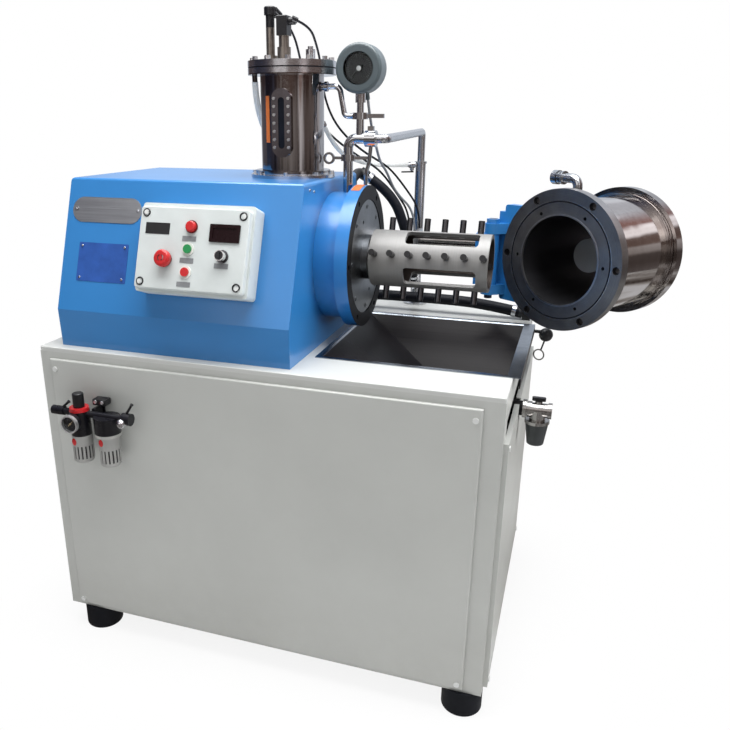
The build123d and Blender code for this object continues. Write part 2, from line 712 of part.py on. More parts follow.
# ---------------------------------------------------------------- rotor
row_angles = [180 - pin_row_angle + 90 * step for step in range(4)]
long_row = [pin_first + pin_pitch * step for step in range(7)]
short_row = [pin_first + pin_pitch * (step + 0.5) for step in range(6)]
pin_root = 61.5
pin_spots = []
for step, angle in enumerate(row_angles):
    outward = (0, cos(radians(angle)), sin(radians(angle)))
    for spot_x in (short_row if step % 2 else long_row):
        pin_spots.append(Plane(origin=(spot_x, shaft_y, shaft_z), x_dir=(1, 0, 0), z_dir=outward))
with BuildPart() as rotor_drum:
    ring(shaft_plane, rotor_start, rotor_end, rotor_radius)
    ring(shaft_plane, rotor_start + hub_thickness, rotor_end, rotor_radius - rotor_wall,
         mode=Mode.SUBTRACT)
    ring(shaft_plane, rotor_start, rotor_end, shaft_end_radius + fit_gap, mode=Mode.SUBTRACT)
    for angle in row_angles:
        slot_turn = radians(angle + 45)
        slot_out = (0, cos(slot_turn), sin(slot_turn))
        slot_face = Plane(origin=((slot_start + slot_end) / 2, shaft_y, shaft_z), x_dir=(1, 0, 0),
                          z_dir=slot_out)
        with BuildSketch(slot_face.offset(40)):
            RectangleRounded(slot_end - slot_start, slot_width, slot_corner)
        extrude(amount=60, mode=Mode.SUBTRACT)
    for spot in pin_spots:
        ring(spot, pin_root, rotor_radius + 5, pin_radius + fit_gap, mode=Mode.SUBTRACT)
save(rotor_drum, "rotor_drum")
with BuildPart() as rotor_pins:
    for spot in pin_spots:
        ring(spot, pin_root, pin_tip_radius, pin_radius)
save(rotor_pins, "rotor_pins")
with BuildPart() as rotor_nut:
    nut_start = rotor_start + hub_thickness
    with BuildSketch(shaft_plane.offset(nut_start)):
        RegularPolygon(shaft_nut_radius, 6)
        Circle(shaft_end_radius + fit_gap, mode=Mode.SUBTRACT)
    extrude(amount=shaft_nut_length)

# ---------------------------------------------------------------- grinding chamber
liner_proud = 1.2
port_depth = 50.0
port_height = 203.0
port_radius = 14.0
port_bore = 10.5
port_end = 78.0
port_turn = 5.0         # degrees off square, so the water hose clears the stand pipe
with BuildPart() as chamber_body:
    ring(chamber_plane, 0, mouth_thickness, mouth_radius)
    ring(chamber_plane, mouth_thickness, rear_flange_start, liner_radius + 6)
    ring(chamber_plane, rear_flange_start, rear_flange_end, rear_flange_radius)
    ring(chamber_plane, 0, rear_flange_end, liner_radius + fit_gap, mode=Mode.SUBTRACT)
    ring(chamber_plane, 0, 3.5, face_groove_radius + face_groove_width / 2,
         face_groove_radius - face_groove_width / 2, mode=Mode.SUBTRACT)
    # clamp screws pass through these into the mill's flange
    with BuildSketch(chamber_plane):
        with PolarLocations(closing_pcd_radius, 6, start_angle=0):
            Circle(closing_hole_radius)
    extrude(amount=mouth_thickness, mode=Mode.SUBTRACT)
    with BuildSketch(chamber_plane):
        with PolarLocations(closing_pcd_radius, 6, start_angle=0):
            Circle(10)
    extrude(amount=9, mode=Mode.SUBTRACT)
    with BuildSketch(chamber_plane):
        with PolarLocations(cover_pcd_radius, 6, start_angle=0):
            Circle(4.5)
    extrude(amount=12, mode=Mode.SUBTRACT)
with BuildPart() as mouth_ring_seal:
    ring(chamber_plane, 0.3, 3.4, face_groove_radius + face_groove_width / 2 - fit_gap,
         face_groove_radius - face_groove_width / 2 + fit_gap)
save(mouth_ring_seal, "mouth_ring_seal")
with BuildPart() as chamber_liner:
    ring(chamber_plane, -liner_proud, chamber_depth - 0.5, liner_radius, bore_radius)
save(chamber_liner, "chamber_liner")
with BuildPart() as cooling_jacket:
    ring(chamber_plane, mouth_thickness, jacket_length, jacket_radius)
    ring(chamber_plane, jacket_length, collar_end, collar_radius)
    ring(chamber_plane, mouth_thickness, jacket_length - 4, jacket_radius - jacket_wall,
         mode=Mode.SUBTRACT)
    ring(chamber_plane, mouth_thickness, collar_end, liner_radius + 6 + fit_gap, mode=Mode.SUBTRACT)
    port_dir = side_dir * cos(radians(port_turn)) + axis_dir * sin(radians(port_turn))
    port_plane = Plane(origin=chamber_plane.from_local_coords((0, 0, port_depth)), x_dir=port_dir,
                       z_dir=(0, 0, 1))
    ring(port_plane, 125, jacket_radius + 3, port_radius - 2, mode=Mode.SUBTRACT)
with BuildPart() as water_elbow:
    elbow_base = port_plane.from_local_coords((0, 0, jacket_radius - 3))
    elbow_turn = port_plane.from_local_coords((0, 0, port_height))
    elbow_mouth = port_plane.from_local_coords((port_end, 0, port_height))
    tube([elbow_base, elbow_turn, elbow_mouth], 20, port_radius - 2 - fit_gap, port_bore)
    coupling_plane = Plane(origin=elbow_mouth, x_dir=(0, 0, 1), z_dir=port_dir)
    ring(coupling_plane, -16, 0, port_radius + 4, port_bore)
    ring(coupling_plane, -24, -19, port_radius + 2, port_bore)
    ring(coupling_plane, -34, -28, port_radius + 3, port_bore)
with BuildPart() as end_cover:
    ring(chamber_plane, rear_flange_end, end_cover_end, end_cover_radius)
    ring(chamber_plane, rear_flange_end, chamber_depth, liner_radius + fit_gap, mode=Mode.SUBTRACT)
    ring(chamber_plane, end_cover_end, end_cover_end + outlet_length, outlet_radius)
    ring(chamber_plane, chamber_depth, end_cover_end + outlet_length, outlet_bore, mode=Mode.SUBTRACT)
with BuildPart() as end_cover_bolts:
    with BuildSketch(chamber_plane.offset(end_cover_end)):
        with PolarLocations(cover_pcd_radius, 8, start_angle=22.5):
            RegularPolygon(7, 6)
    extrude(amount=7)
screen_slot_count = 8
screen_slot_width = 5.0
with BuildPart() as separator_screen:
    ring(chamber_plane, separator_start, chamber_depth, separator_radius)
    ring(chamber_plane, separator_start + 6, chamber_depth, separator_radius - separator_wall,
         mode=Mode.SUBTRACT)
    for step in range(screen_slot_count):
        slot_turn = radians(360 / screen_slot_count * (step + 0.5))
        slot_out = side_dir * cos(slot_turn) + Vector(0, 0, 1) * sin(slot_turn)
        for slot_mid in (separator_start + 58, separator_start + 142):
            screen_face = Plane(origin=chamber_plane.from_local_coords((0, 0, slot_mid)),
                                x_dir=axis_dir, z_dir=slot_out)
            with BuildSketch(screen_face):
                SlotOverall(70, screen_slot_width)
            extrude(amount=60, mode=Mode.SUBTRACT)
save(separator_screen, "separator_screen")

# ---------------------------------------------------------------- hinge and guides
ear_inner = 120.0
ear_outer = 205.0
ear_tip = 240.0
ear_step = 224.0
ear_step_high = 104.0
ear_low = -140.0
ear_high = 124.0
ear_thickness = 24.0
lug_upper = knuckle_high - shaft_z + body_gap
lug_lower = knuckle_low - shaft_z - body_gap - lug_thickness
lug_radius = 22.0
with BuildPart() as hinge_bracket:
    ear_plane = chamber_plane.offset(mouth_thickness)
    with BuildSketch(ear_plane):
        with Locations(((ear_inner + ear_outer) / 2, (ear_low + ear_high) / 2)):
            RectangleRounded(ear_outer - ear_inner, ear_high - ear_low, 8)
        with Locations(((ear_outer + ear_tip) / 2 - 5, (lug_lower + lug_upper + lug_thickness) / 2)):
            Rectangle(ear_tip - ear_outer + 10, lug_upper + lug_thickness - lug_lower)
        with Locations(((ear_outer + ear_step) / 2 - 5, (lug_upper + lug_thickness + ear_step_high) / 2 - 5)):
            Rectangle(ear_step - ear_outer + 10, ear_step_high - lug_upper - lug_thickness + 10)
        Circle(jacket_radius + fit_gap, mode=Mode.SUBTRACT)
        with PolarLocations(closing_pcd_radius, 6, start_angle=0):
            Circle(closing_hole_radius, mode=Mode.SUBTRACT)
    extrude(amount=ear_thickness)
    for lug_start in (lug_upper, lug_lower):
        # in this plane x points to the hinge and y towards the mill
        lug_plane = Plane(origin=mouth_centre + Vector(0, 0, lug_start), x_dir=side_dir, z_dir=(0, 0, 1))
        with BuildSketch(lug_plane) as lug_shape:
            with Locations((hinge_arm, hinge_setback)):
                Circle(lug_radius)
            with Locations((ear_outer - 9, -mouth_thickness - ear_thickness / 2)):
                Rectangle(18, ear_thickness)
            make_hull()
        extrude(lug_shape.sketch, amount=lug_thickness)
    pin_line = Plane(origin=(hinge_x, hinge_y, 0))
    ring(pin_line, cabinet_top + 30, cabinet_top + 330, hinge_pin_radius + fit_gap, mode=Mode.SUBTRACT)
with BuildPart() as hinge_pin:
    pin_low = shaft_z + lug_lower - 12
    pin_high = shaft_z + lug_upper + lug_thickness
    ring(pin_line, pin_low, pin_high, hinge_pin_radius)
    with BuildSketch(Plane.XY.offset(pin_high)):
        with Locations((hinge_x, hinge_y)):
            RegularPolygon(18, 6)
    extrude(amount=12)
with BuildPart() as hinge_knuckle:
    box(block_start, hinge_x, hinge_y - knuckle_radius, hinge_y + knuckle_radius, knuckle_low, knuckle_high)
    ring(pin_line, knuckle_low, knuckle_high, knuckle_radius)
    ring(pin_line, knuckle_low, knuckle_high, hinge_pin_radius + running_gap, mode=Mode.SUBTRACT)
guide_lines = [Plane(origin=(0, hinge_y, line_z), x_dir=(0, 1, 0), z_dir=(1, 0, 0))
               for line_z in (guide_z_low, guide_z_high)]
with BuildPart() as guide_rods:
    for line in guide_lines:
        ring(line, rod_start, block_start, guide_rod_radius)
tube_end = tube_start + tube_length
with BuildPart() as guide_tubes:
    for line in guide_lines:
        ring(line, tube_start, tube_end, guide_tube_radius)
    box(tube_end - yoke_thickness, tube_end, hinge_y - 26, hinge_y + 26, guide_z_low - 28, guide_z_high + 28)
    for line in guide_lines:
        ring(line, tube_start, tube_end, guide_rod_radius + running_gap, mode=Mode.SUBTRACT)
save(guide_tubes, "guide_tubes")
with BuildPart() as guide_housing:
    box(guide_housing_back, guide_housing_front, guide_front_y, guide_back_y,
        guide_z_low - guide_tube_radius - guide_housing_wall,
        guide_z_high + guide_tube_radius + guide_housing_wall)
    for line in guide_lines:
        ring(line, guide_housing_back, guide_housing_front, guide_tube_radius + running_gap,
             mode=Mode.SUBTRACT)

# ---------------------------------------------------------------- seal liquid tank
tank_x = -33.0
tank_y = shaft_y
tank_radius = 81.5
tank_wall = 3.0
tank_foot_top = cover_top + 18.0
tank_cover_top = cover_top + 281.0
tank_cover_low = tank_cover_top - 15.0
tank_gasket_low = tank_cover_low - 3.0
tank_flange_low = tank_gasket_low - 15.0
tank_flange_radius = 112.0
tank_bolt_pcd_radius = 100.0
tank_line = Plane(origin=(tank_x, tank_y, 0))
side_port_z = tank_flange_low - 27.0
side_port_radius = 9.0
side_port_plane = Plane(origin=(tank_x, tank_y, side_port_z), x_dir=(0, 1, 0), z_dir=(1, 0, 0))
left_clear_size = 16.0
left_clear_route = on_deck([(-131, -64, 658), (-134, -52, 592), (-124, 12, 510), (-114, 64, 438)])
drop_bore_radius = 5.0
with BuildPart() as tank_body:
    ring(tank_line, cover_top, cover_top + 8, 110)
    ring(tank_line, cover_top + 8, tank_foot_top, 98)
    ring(tank_line, cover_top, tank_flange_low, tank_radius)
    ring(tank_line, tank_flange_low, tank_gasket_low, tank_flange_radius)
    ring(tank_line, cover_top + 6, tank_gasket_low, tank_radius - tank_wall, mode=Mode.SUBTRACT)
    # side port with its hexagon
    ring(side_port_plane, tank_radius - 2, 96, side_port_radius)
    ring(side_port_plane, 88, 96, 12)
    ring(side_port_plane, tank_radius - 10, 96, drop_bore_radius, mode=Mode.SUBTRACT)
with BuildPart() as tank_gasket:
    ring(tank_line, tank_gasket_low, tank_cover_low, tank_flange_radius - 1, tank_radius)
save(tank_gasket, "tank_gasket")
with BuildPart() as tank_cover:
    ring(tank_line, tank_cover_low, tank_cover_top, tank_flange_radius)
with BuildPart() as tank_bolts:
    with BuildSketch(tank_line.offset(tank_cover_top)):
        with Locations((tank_x - tank_x, 0)):
            with PolarLocations(tank_bolt_pcd_radius, 12, start_angle=15):
                RegularPolygon(7, 6)
    extrude(amount=9)
    with BuildSketch(tank_line.offset(cover_top + 8)):
        with PolarLocations(104, 8, start_angle=10):
            RegularPolygon(5, 6)
    extrude(amount=8)

# sight glass frame welded to the front of the tank
sight_x = tank_x + 4
sight_low = cabinet_top + 476.0
sight_high = cabinet_top + 640.0
sight_width = 52.0
sight_face = tank_y - tank_radius - 9
sight_mid = (sight_low + sight_high) / 2
sight_slot_high = cabinet_top + 615.0
sight_slot_low = cabinet_top + 494.0
sight_plane = Plane(origin=(sight_x, sight_face, sight_mid), x_dir=(1, 0, 0), z_dir=(0, -1, 0))
sight_length = sight_high - sight_low
sight_slot_length = sight_slot_high - sight_slot_low
with BuildPart() as sight_frame:
    with BuildSketch(sight_plane):
        SlotOverall(sight_length, sight_width, rotation=90)
    extrude(amount=-20)
    with BuildSketch(sight_plane):
        SlotOverall(sight_slot_length, 16, rotation=90)
    extrude(amount=-20, mode=Mode.SUBTRACT)
    ring(tank_line, sight_low - 5, sight_high + 5, tank_radius, mode=Mode.SUBTRACT)
with BuildPart() as sight_glass:
    with BuildSketch(sight_plane.offset(-2)):
        SlotOverall(sight_slot_length - 2 * fit_gap, 16 - 2 * fit_gap, rotation=90)
    extrude(amount=-5)
with BuildPart() as sight_screws:
    for spot_z in (-68, -46, -23, 0, 23, 46, 68):
        with BuildSketch(sight_plane):
            with Locations((-19, spot_z * 0.85), (19, spot_z * 0.85)):
                Circle(3.6)
        extrude(amount=2.5)

# probes and filler on the tank cover
probe_one_x = -93.0
probe_two_x = -50.0
filler_x = 17.0
probe_one_y = -46.0
probe_two_y = -62.0
probe_one_line = Plane(origin=(probe_one_x, probe_one_y, 0))
probe_two_line = Plane(origin=(probe_two_x, probe_two_y, 0))
gland_one_end = Vector(-75.0, -22.0, tank_cover_top + 111)
gland_two_end = Vector(-14.0, -62.0, tank_cover_top + 92)
cable_size = 6.0
cable_one_route = [tuple(gland_one_end)] + on_deck([(-62, 28, 790), (-58, 78, 720), (-50, 94, 638),
    (-20, 100, 566), (24, 112, 518), (72, 136, 480), (102, 208, 448), (126, 274, 416), (160, 312, 358),
    (202, 336, 290), (202, 336, 232)])
cable_two_route = [tuple(gland_two_end)] + on_deck([(12, -40, 785), (8, 20, 748), (-2, 80, 710),
    (0, 100, 630), (26, 108, 562), (66, 128, 512), (104, 166, 476), (124, 236, 452), (146, 294, 426),
    (186, 322, 372), (234, 336, 302), (234, 336, 232)])
gland_one_run = (Vector(*cable_one_route[0]) - Vector(*cable_one_route[1])).normalized()
gland_two_run = (Vector(*cable_two_route[0]) - Vector(*cable_two_route[1])).normalized()
filler_line = Plane(origin=(filler_x, tank_y, 0))
with BuildPart() as level_probe:
    ring(probe_one_line, tank_cover_top, tank_cover_top + 15, 17)
    ring(probe_one_line, tank_cover_top + 15, tank_cover_top + 109, 11)
    ring(probe_one_line, tank_cover_top + 109, tank_cover_top + 129, 15)
    fillet(level_probe.faces().sort_by(Axis.Z)[-1].edges(), radius=4)
    ring(Plane(origin=gland_one_end, z_dir=gland_one_run), 0, 24, 7)
    ring(Plane(origin=(probe_one_x, probe_one_y, tank_cover_top + 111), z_dir=(0.6, 0.8, 0)), 0, 26, 8)
with BuildPart() as heat_probe:
    ring(probe_two_line, tank_cover_top, tank_cover_top + 33, 17)
    ring(probe_two_line, tank_cover_top + 33, tank_cover_top + 59, 13)
    box(probe_two_x - 14, probe_two_x + 14, probe_two_y - 16, probe_two_y + 16,
        tank_cover_top + 59, tank_cover_top + 105)
    fillet(heat_probe.faces().sort_by(Axis.Z)[-1].edges(), radius=3)
    ring(Plane(origin=(probe_two_x, probe_two_y, tank_cover_top + 92), z_dir=(1, 0, 0)), 12, 30, 9)
    ring(Plane(origin=gland_two_end, z_dir=gland_two_run), 0, 14, 7)
with BuildPart() as filler_cap:
    ring(filler_line, tank_cover_top, tank_cover_top + 5, 15)
    ring(filler_line, tank_cover_top + 5, tank_cover_top + 27, 12)
    ring(filler_line, tank_cover_top + 27, tank_cover_top + 34, 7)
with BuildPart() as hose_tail:
    tail_run = (Vector(*left_clear_route[0]) - Vector(*left_clear_route[1])).normalized()
    ring(Plane(origin=left_clear_route[0], z_dir=tail_run), 0, 15, 7)

# ---------------------------------------------------------------- seal pipe and gauge
leg_x = 118.5
leg_foot = cabinet_top + 388.0
arch_z = cabinet_top + 521.0
pipe_radius = 12.5
pipe_wall = 1.5
arch_end = 164.0
clamp_end = 192.0
pipe_clamp_radius = 20.0
gauge_x = 149.0
gauge_y = shaft_y
gauge_z = cabinet_top + 685.0
gauge_case_radius = 58.5
gauge_depth = 58.0
gauge_front = gauge_y - 29.0
dial_radius = 33.0
window_radius = 38.0
stem_top = gauge_z - gauge_case_radius + 2
with BuildPart() as seal_pipe:
    tube([(leg_x, shaft_y, leg_foot), (leg_x, shaft_y, arch_z), (arch_end, shaft_y, arch_z)],
         22, pipe_radius, pipe_radius - pipe_wall)
leg_line = Plane(origin=(leg_x, shaft_y, 0))
handle_ring_x = 67.0
leg_clamp_z = cabinet_top + 474.0
with BuildPart() as leg_clamp:
    ring(leg_line, leg_clamp_z - 8, leg_clamp_z + 8, 19, pipe_radius + fit_gap)
    with BuildSketch(Plane.XZ.offset(-shaft_y + 4)):
        with Locations(((leg_x - 19 + handle_ring_x + 12) / 2, leg_clamp_z - 1)):
            Rectangle(leg_x - 16 - handle_ring_x - 10, 7)
        with Locations((handle_ring_x, leg_clamp_z - 2)):
            Circle(15)
            Circle(9.5, mode=Mode.SUBTRACT)
        with Locations((leg_x + 34, leg_clamp_z)):
            Rectangle(36, 8)
    extrude(amount=-8)
    ring(leg_line, leg_clamp_z - 14, leg_clamp_z + 16, pipe_radius + fit_gap, mode=Mode.SUBTRACT)
arch_plane = Plane(origin=(0, shaft_y, arch_z), x_dir=(0, 1, 0), z_dir=(1, 0, 0))
with BuildPart() as arch_clamp:
    ring(arch_plane, arch_end, clamp_end, pipe_clamp_radius, pipe_radius - pipe_wall)
    box(arch_end + 6, clamp_end - 6, shaft_y - 5, shaft_y + 5, arch_z + pipe_clamp_radius - 3,
        arch_z + pipe_clamp_radius + 10)
stem_line = Plane(origin=(gauge_x, gauge_y, 0))
wing_z = cabinet_top + 575.0
with BuildPart() as gauge_stem:
    # sits astride the seal pipe
    ring(stem_line, arch_z, wing_z - 8, 10)
    ring(stem_line, wing_z - 8, wing_z + 8, 20)
    ring(stem_line, wing_z + 8, stem_top - 22, 9)
    ring(stem_line, stem_top - 22, stem_top, 13)
    ring(arch_plane, leg_x, arch_end, pipe_radius + fit_gap, mode=Mode.SUBTRACT)
    box(gauge_x + 15, gauge_x + 62, gauge_y - 4, gauge_y + 4, wing_z - 5, wing_z + 5)
gauge_face = Plane(origin=(gauge_x, gauge_front, gauge_z), x_dir=(1, 0, 0), z_dir=(0, -1, 0))
with BuildPart() as gauge_case:
    ring(gauge_face, -gauge_depth, 0, gauge_case_radius)
    ring(gauge_face, -4, 0, window_radius, mode=Mode.SUBTRACT)
    ring(gauge_face, -14, 0, dial_radius + 3, mode=Mode.SUBTRACT)
    ring(gauge_face, -18, -14, 3 + running_gap, mode=Mode.SUBTRACT)
    ring(stem_line, stem_top - 30, stem_top, 16, mode=Mode.SUBTRACT)
    fillet(gauge_case.faces().sort_by(Axis.Y)[-1].edges(), radius=5)
    rim_edges = [edge for edge in gauge_case.edges().filter_by(GeomType.CIRCLE)
                 if abs(edge.radius - gauge_case_radius) < 0.1 and abs(edge.center().Y - gauge_front) < 0.1]
    fillet(rim_edges, radius=8)
    cable_three_route = on_deck([(163, -34, 614), (168, -22, 558), (162, 56, 502), (154, 140, 452),
        (150, 226, 426), (164, 286, 360), (218, 336, 298), (218, 336, 232)])
    gland_run = (Vector(*cable_three_route[0]) - Vector(*cable_three_route[1])).normalized()
    ring(Plane(origin=cable_three_route[0], z_dir=gland_run), 0, 20, 5.5)
save(gauge_case, "gauge_case")
with BuildPart() as gauge_lens:
    ring(gauge_face, -4, -1, window_radius - fit_gap)
needle_rest = 225.0
with BuildPart() as gauge_needle:
    ring(gauge_face, -17, -10, 3)
    ring(gauge_face, -11, -8, 7)
    with BuildSketch(gauge_face.offset(-11)):
        with Locations((cos(radians(needle_rest)) * 8, sin(radians(needle_rest)) * 8)):
            Rectangle(38, 2.4, rotation=needle_rest)
    extrude(amount=1.5)
save(gauge_needle, "gauge_needle")
with BuildPart() as flush_pipe:
    # thin pipe from the arch down to the flange
    flush_top = arch_z - pipe_clamp_radius
    flush_foot = shaft_z + flange_radius
    tube([(178, shaft_y, flush_top), (174, shaft_y, flush_top - 40), (166, shaft_y, flush_foot + 30),
          (166, shaft_y, flush_foot)], 60, 5, 3.5)
with BuildPart() as balance_pipe:
    # bent tube from the tank's side port to the stem clamp
    port_face = (tank_x + 96, tank_y, side_port_z)
    tube([port_face, (94, shaft_y, side_port_z), (108, shaft_y, wing_z), (gauge_x - 19, shaft_y, wing_z)],
         [16, 11], 7, 5)

# ---------------------------------------------------------------- stand pipe
stand_x = 218.0
stand_y = 388.5
stand_joint = cabinet_top + 444.0
stand_radius = 15.5
stand_top_radius = 11.0
cross_z = cabinet_top + 530.0
port_direction = Vector(-7, 48, -48).normalized()
hose_end = Vector(stand_x, 348.0, cabinet_top + 92)
valve_z = cabinet_top + 434.0
valve_out = Vector(-0.8148, -0.5797, 0)
valve_reach = 44.0
valve_plane = Plane(origin=(stand_x, stand_y, valve_z), z_dir=valve_out)
stand_line = Plane(origin=(stand_x, stand_y, 0))
with BuildPart() as stand_pipe:
    ring(stand_line, cabinet_top, cabinet_top + 6, 38)
    ring(stand_line, cabinet_top, stand_joint, stand_radius)
    ring(stand_line, stand_joint - 6, stand_joint, stand_radius + 3)
    # inclined side port for the thick hose and a level one for the clear hose
    side_port_plane = Plane(origin=hose_end, z_dir=port_direction)
    ring(side_port_plane, 0, 48, 12)
    ring(side_port_plane, 0, 14, 19)
    ring(valve_plane, 0, valve_reach - 0.05, 6)
    ring(valve_plane, 20, valve_reach - 6, 9)
    valve_mid = Vector(stand_x, stand_y, valve_z) + valve_out * 29
    valve_stem_plane = Plane(origin=valve_mid, x_dir=valve_out, z_dir=(0, 0, -1))
    ring(valve_stem_plane, 0, 16, 6)
    ring(valve_stem_plane, 6, 16, 3 + running_gap, mode=Mode.SUBTRACT)
    ring(stand_line, cabinet_top + 6, stand_joint - 6, stand_radius - 3, mode=Mode.SUBTRACT)
    ring(stand_line, stand_joint - 8, stand_joint, stand_top_radius - pipe_wall, mode=Mode.SUBTRACT)
with BuildPart() as valve_lever:
    ring(valve_stem_plane, 8, 22, 3)
    with BuildSketch(valve_stem_plane.offset(18)):
        with Locations((14, 0)):
            SlotOverall(40, 9)
    extrude(amount=4)
save(valve_lever, "valve_lever")
with BuildPart() as cross_pipe:
    # runs back from the clamp on the seal pipe and down into the stand pipe
    tube([(clamp_end, shaft_y, arch_z), (stand_x, shaft_y, arch_z), (stand_x, stand_y, cross_z),
          (stand_x, stand_y, stand_joint)], 13, stand_top_radius, stand_top_radius - pipe_wall)
junction_low = cabinet_top + 150.0
junction_high = cabinet_top + 220.0
with BuildPart() as junction_box:
    box(stand_x - 28, stand_x + 28, 318, stand_y - stand_radius, junction_low, junction_high)
    fillet(junction_box.edges().filter_by(Axis.Z), radius=4)
    box(stand_x - 12, stand_x + 12, stand_y - stand_radius - 1, stand_y, junction_low + 20,
        junction_high - 20)
    ring(stand_line, junction_low - 5, junction_high + 5, stand_radius, mode=Mode.SUBTRACT)
    for spot_x in (-16, 0, 16):
        gland_line = Plane(origin=(stand_x + spot_x, 336, 0))
        ring(gland_line, junction_high, junction_high + 12, 6)

# ---------------------------------------------------------------- air unit on the front panel
air_y = cabinet_front - 55.0
left_bowl_x = -474.5
right_bowl_x = -393.0
air_line_z = 719.0
air_gauge_y = -503.0
left_bowl_line = Plane(origin=(left_bowl_x, air_y, 0))
right_bowl_line = Plane(origin=(right_bowl_x, air_y, 0))
air_line_plane = Plane(origin=(0, air_y, air_line_z), x_dir=(0, 1, 0), z_dir=(1, 0, 0))
air_gauge_mid = Vector(-476.0, air_gauge_y, 703.0)
air_gauge_plane = Plane(origin=air_gauge_mid, x_dir=(1, 0, 0), z_dir=(0, -1, 0))
with BuildPart() as air_body:
    ring(left_bowl_line, 661, 727, 26)
    ring(right_bowl_line, 669, 720, 34)
    ring(air_line_plane, -556, -321, 9)
    ring(air_line_plane, -556, -520, 12)
    ring(air_line_plane, -345, -321, 16)
    ring(air_line_plane, -558, -530, 6, mode=Mode.SUBTRACT)
    ring(left_bowl_line, 700, 730, 6 + running_gap, mode=Mode.SUBTRACT)
    ring(air_gauge_plane, -22, -8, 6)
with BuildPart() as air_ring:
    ring(left_bowl_line, 727, 736, 24.5, 6 + running_gap)
with BuildPart() as regulator_knob:
    ring(left_bowl_line, 712, 737, 6)
    ring(left_bowl_line, 736.3, 774, 14.5)
    fillet(regulator_knob.faces().sort_by(Axis.Z)[-1].edges(), radius=3)
save(regulator_knob, "regulator_knob")
with BuildPart() as air_bowls:
    ring(left_bowl_line, 585, 661, 27)
    ring(left_bowl_line, 577, 585, 10)
    ring(right_bowl_line, 584, 669, 27)
    ring(right_bowl_line, 576, 584, 10)
save(air_bowls, "air_bowls")
with BuildPart() as air_gauge_case:
    ring(air_gauge_plane, -8, 12, 24)
    ring(air_gauge_plane, 4, 12, 20.5, mode=Mode.SUBTRACT)
with BuildPart() as air_gauge_lens:
    ring(air_gauge_plane, 9, 11, 20.5 - fit_gap)
with BuildPart() as air_bracket:
    bracket_front = cabinet_front - front_panel_stand - 4
    box(left_bowl_x + 30, right_bowl_x - 36, bracket_front, cabinet_front - front_panel_stand, 700, 741)
    box(left_bowl_x + 34, right_bowl_x - 40, air_y + 6, bracket_front, 708, 732)
    ring(air_line_plane, -556, -321, 9, mode=Mode.SUBTRACT)

# ---------------------------------------------------------------- hoses and cables


def cord(points, diameter, name):
    """A round cord through corner points, each corner rounded by its own radius."""
    places = [Vector(*point) for point in points]
    radii = []
    for before, corner, after in zip(places, places[1:], places[2:]):
        run_in = corner - before
        run_out = after - corner
        turn = radians(run_in.get_angle(run_out))
        radii.append(0.45 * min(run_in.length, run_out.length) / tan(turn / 2))
    tube(points, radii, diameter / 2)
    runs = [round((after - before).length) for before, after in zip(places, places[1:])]
    print(name, "runs", runs, "radii", [round(radius) for radius in radii])


def cord_length(points):
    """The length of the rounded route."""
    places = [Vector(*point) for point in points]
    radii = []
    for before, corner, after in zip(places, places[1:], places[2:]):
        run_in = corner - before
        run_out = after - corner
        turn = radians(run_in.get_angle(run_out))
        radii.append(0.45 * min(run_in.length, run_out.length) / tan(turn / 2))
    with BuildLine() as path:
        FilletPolyline(*points, radius=radii)
    return path.line.length


# thick return hose: from the elbow behind the cover down to the stand pipe
hose_size = 29.0
hose_start = Vector(86.0, 247.5, cabinet_top + 407)
hose_route = [tuple(hose_start)] + on_deck([(165, 247.5, 362), (212, 247.5, 247), (225, 300, 140)])
hose_route.append(tuple(hose_end))
with BuildPart() as return_hose:
    cord(hose_route, hose_size, "return_hose")
save(return_hose, "return_hose")
hose_direction = (hose_start - Vector(*hose_route[1])).normalized()
with BuildPart() as hose_elbow:
    # bulkhead elbow on the back of the cover
    elbow_lip = hose_start + hose_direction * 4
    elbow_bend = hose_start + hose_direction * 28
    elbow_root = Vector(55.0, cover_back + 6, cabinet_top + 392)
    tube([tuple(elbow_root), tuple(elbow_bend), tuple(elbow_lip)], 18, 14, 11)
    ring(Plane(origin=(elbow_root.X, cover_back, elbow_root.Z), z_dir=(0, 1, 0)), 0, 12, 21)
    hose_fitting_plane = Plane(origin=hose_start, z_dir=hose_direction)
    ring(hose_fitting_plane, 0, 22, 17, 11)

# lower hose along the back of the top plate
lower_size = 32.0
lower_y = cabinet_back - 125.0
lower_route = on_deck([(100, lower_y, 42), (345, lower_y, 44), (476, lower_y, 34), (556, lower_y, 20)])
with BuildPart() as lower_hose:
    cord(lower_route, lower_size, "lower_hose")
save(lower_hose, "lower_hose")
with BuildPart() as hose_bulkheads:
    box(52, 88, lower_y - 24, lower_y + 24, cabinet_top, cabinet_top + 68)
    left_direction = (Vector(*lower_route[0]) - Vector(*lower_route[1])).normalized()
    left_fitting = Plane(origin=lower_route[0], z_dir=left_direction)
    ring(left_fitting, 0, 30, 14)
    right_direction = (Vector(*lower_route[3]) - Vector(*lower_route[2])).normalized()
    right_fitting = Plane(origin=lower_route[3], z_dir=right_direction)
    ring(right_fitting, 0, 10, 16)
    ring(right_fitting, 0, 30, 12)
    box(566, 590, lower_y - 14, lower_y + 14, cabinet_top, cabinet_top + 24)

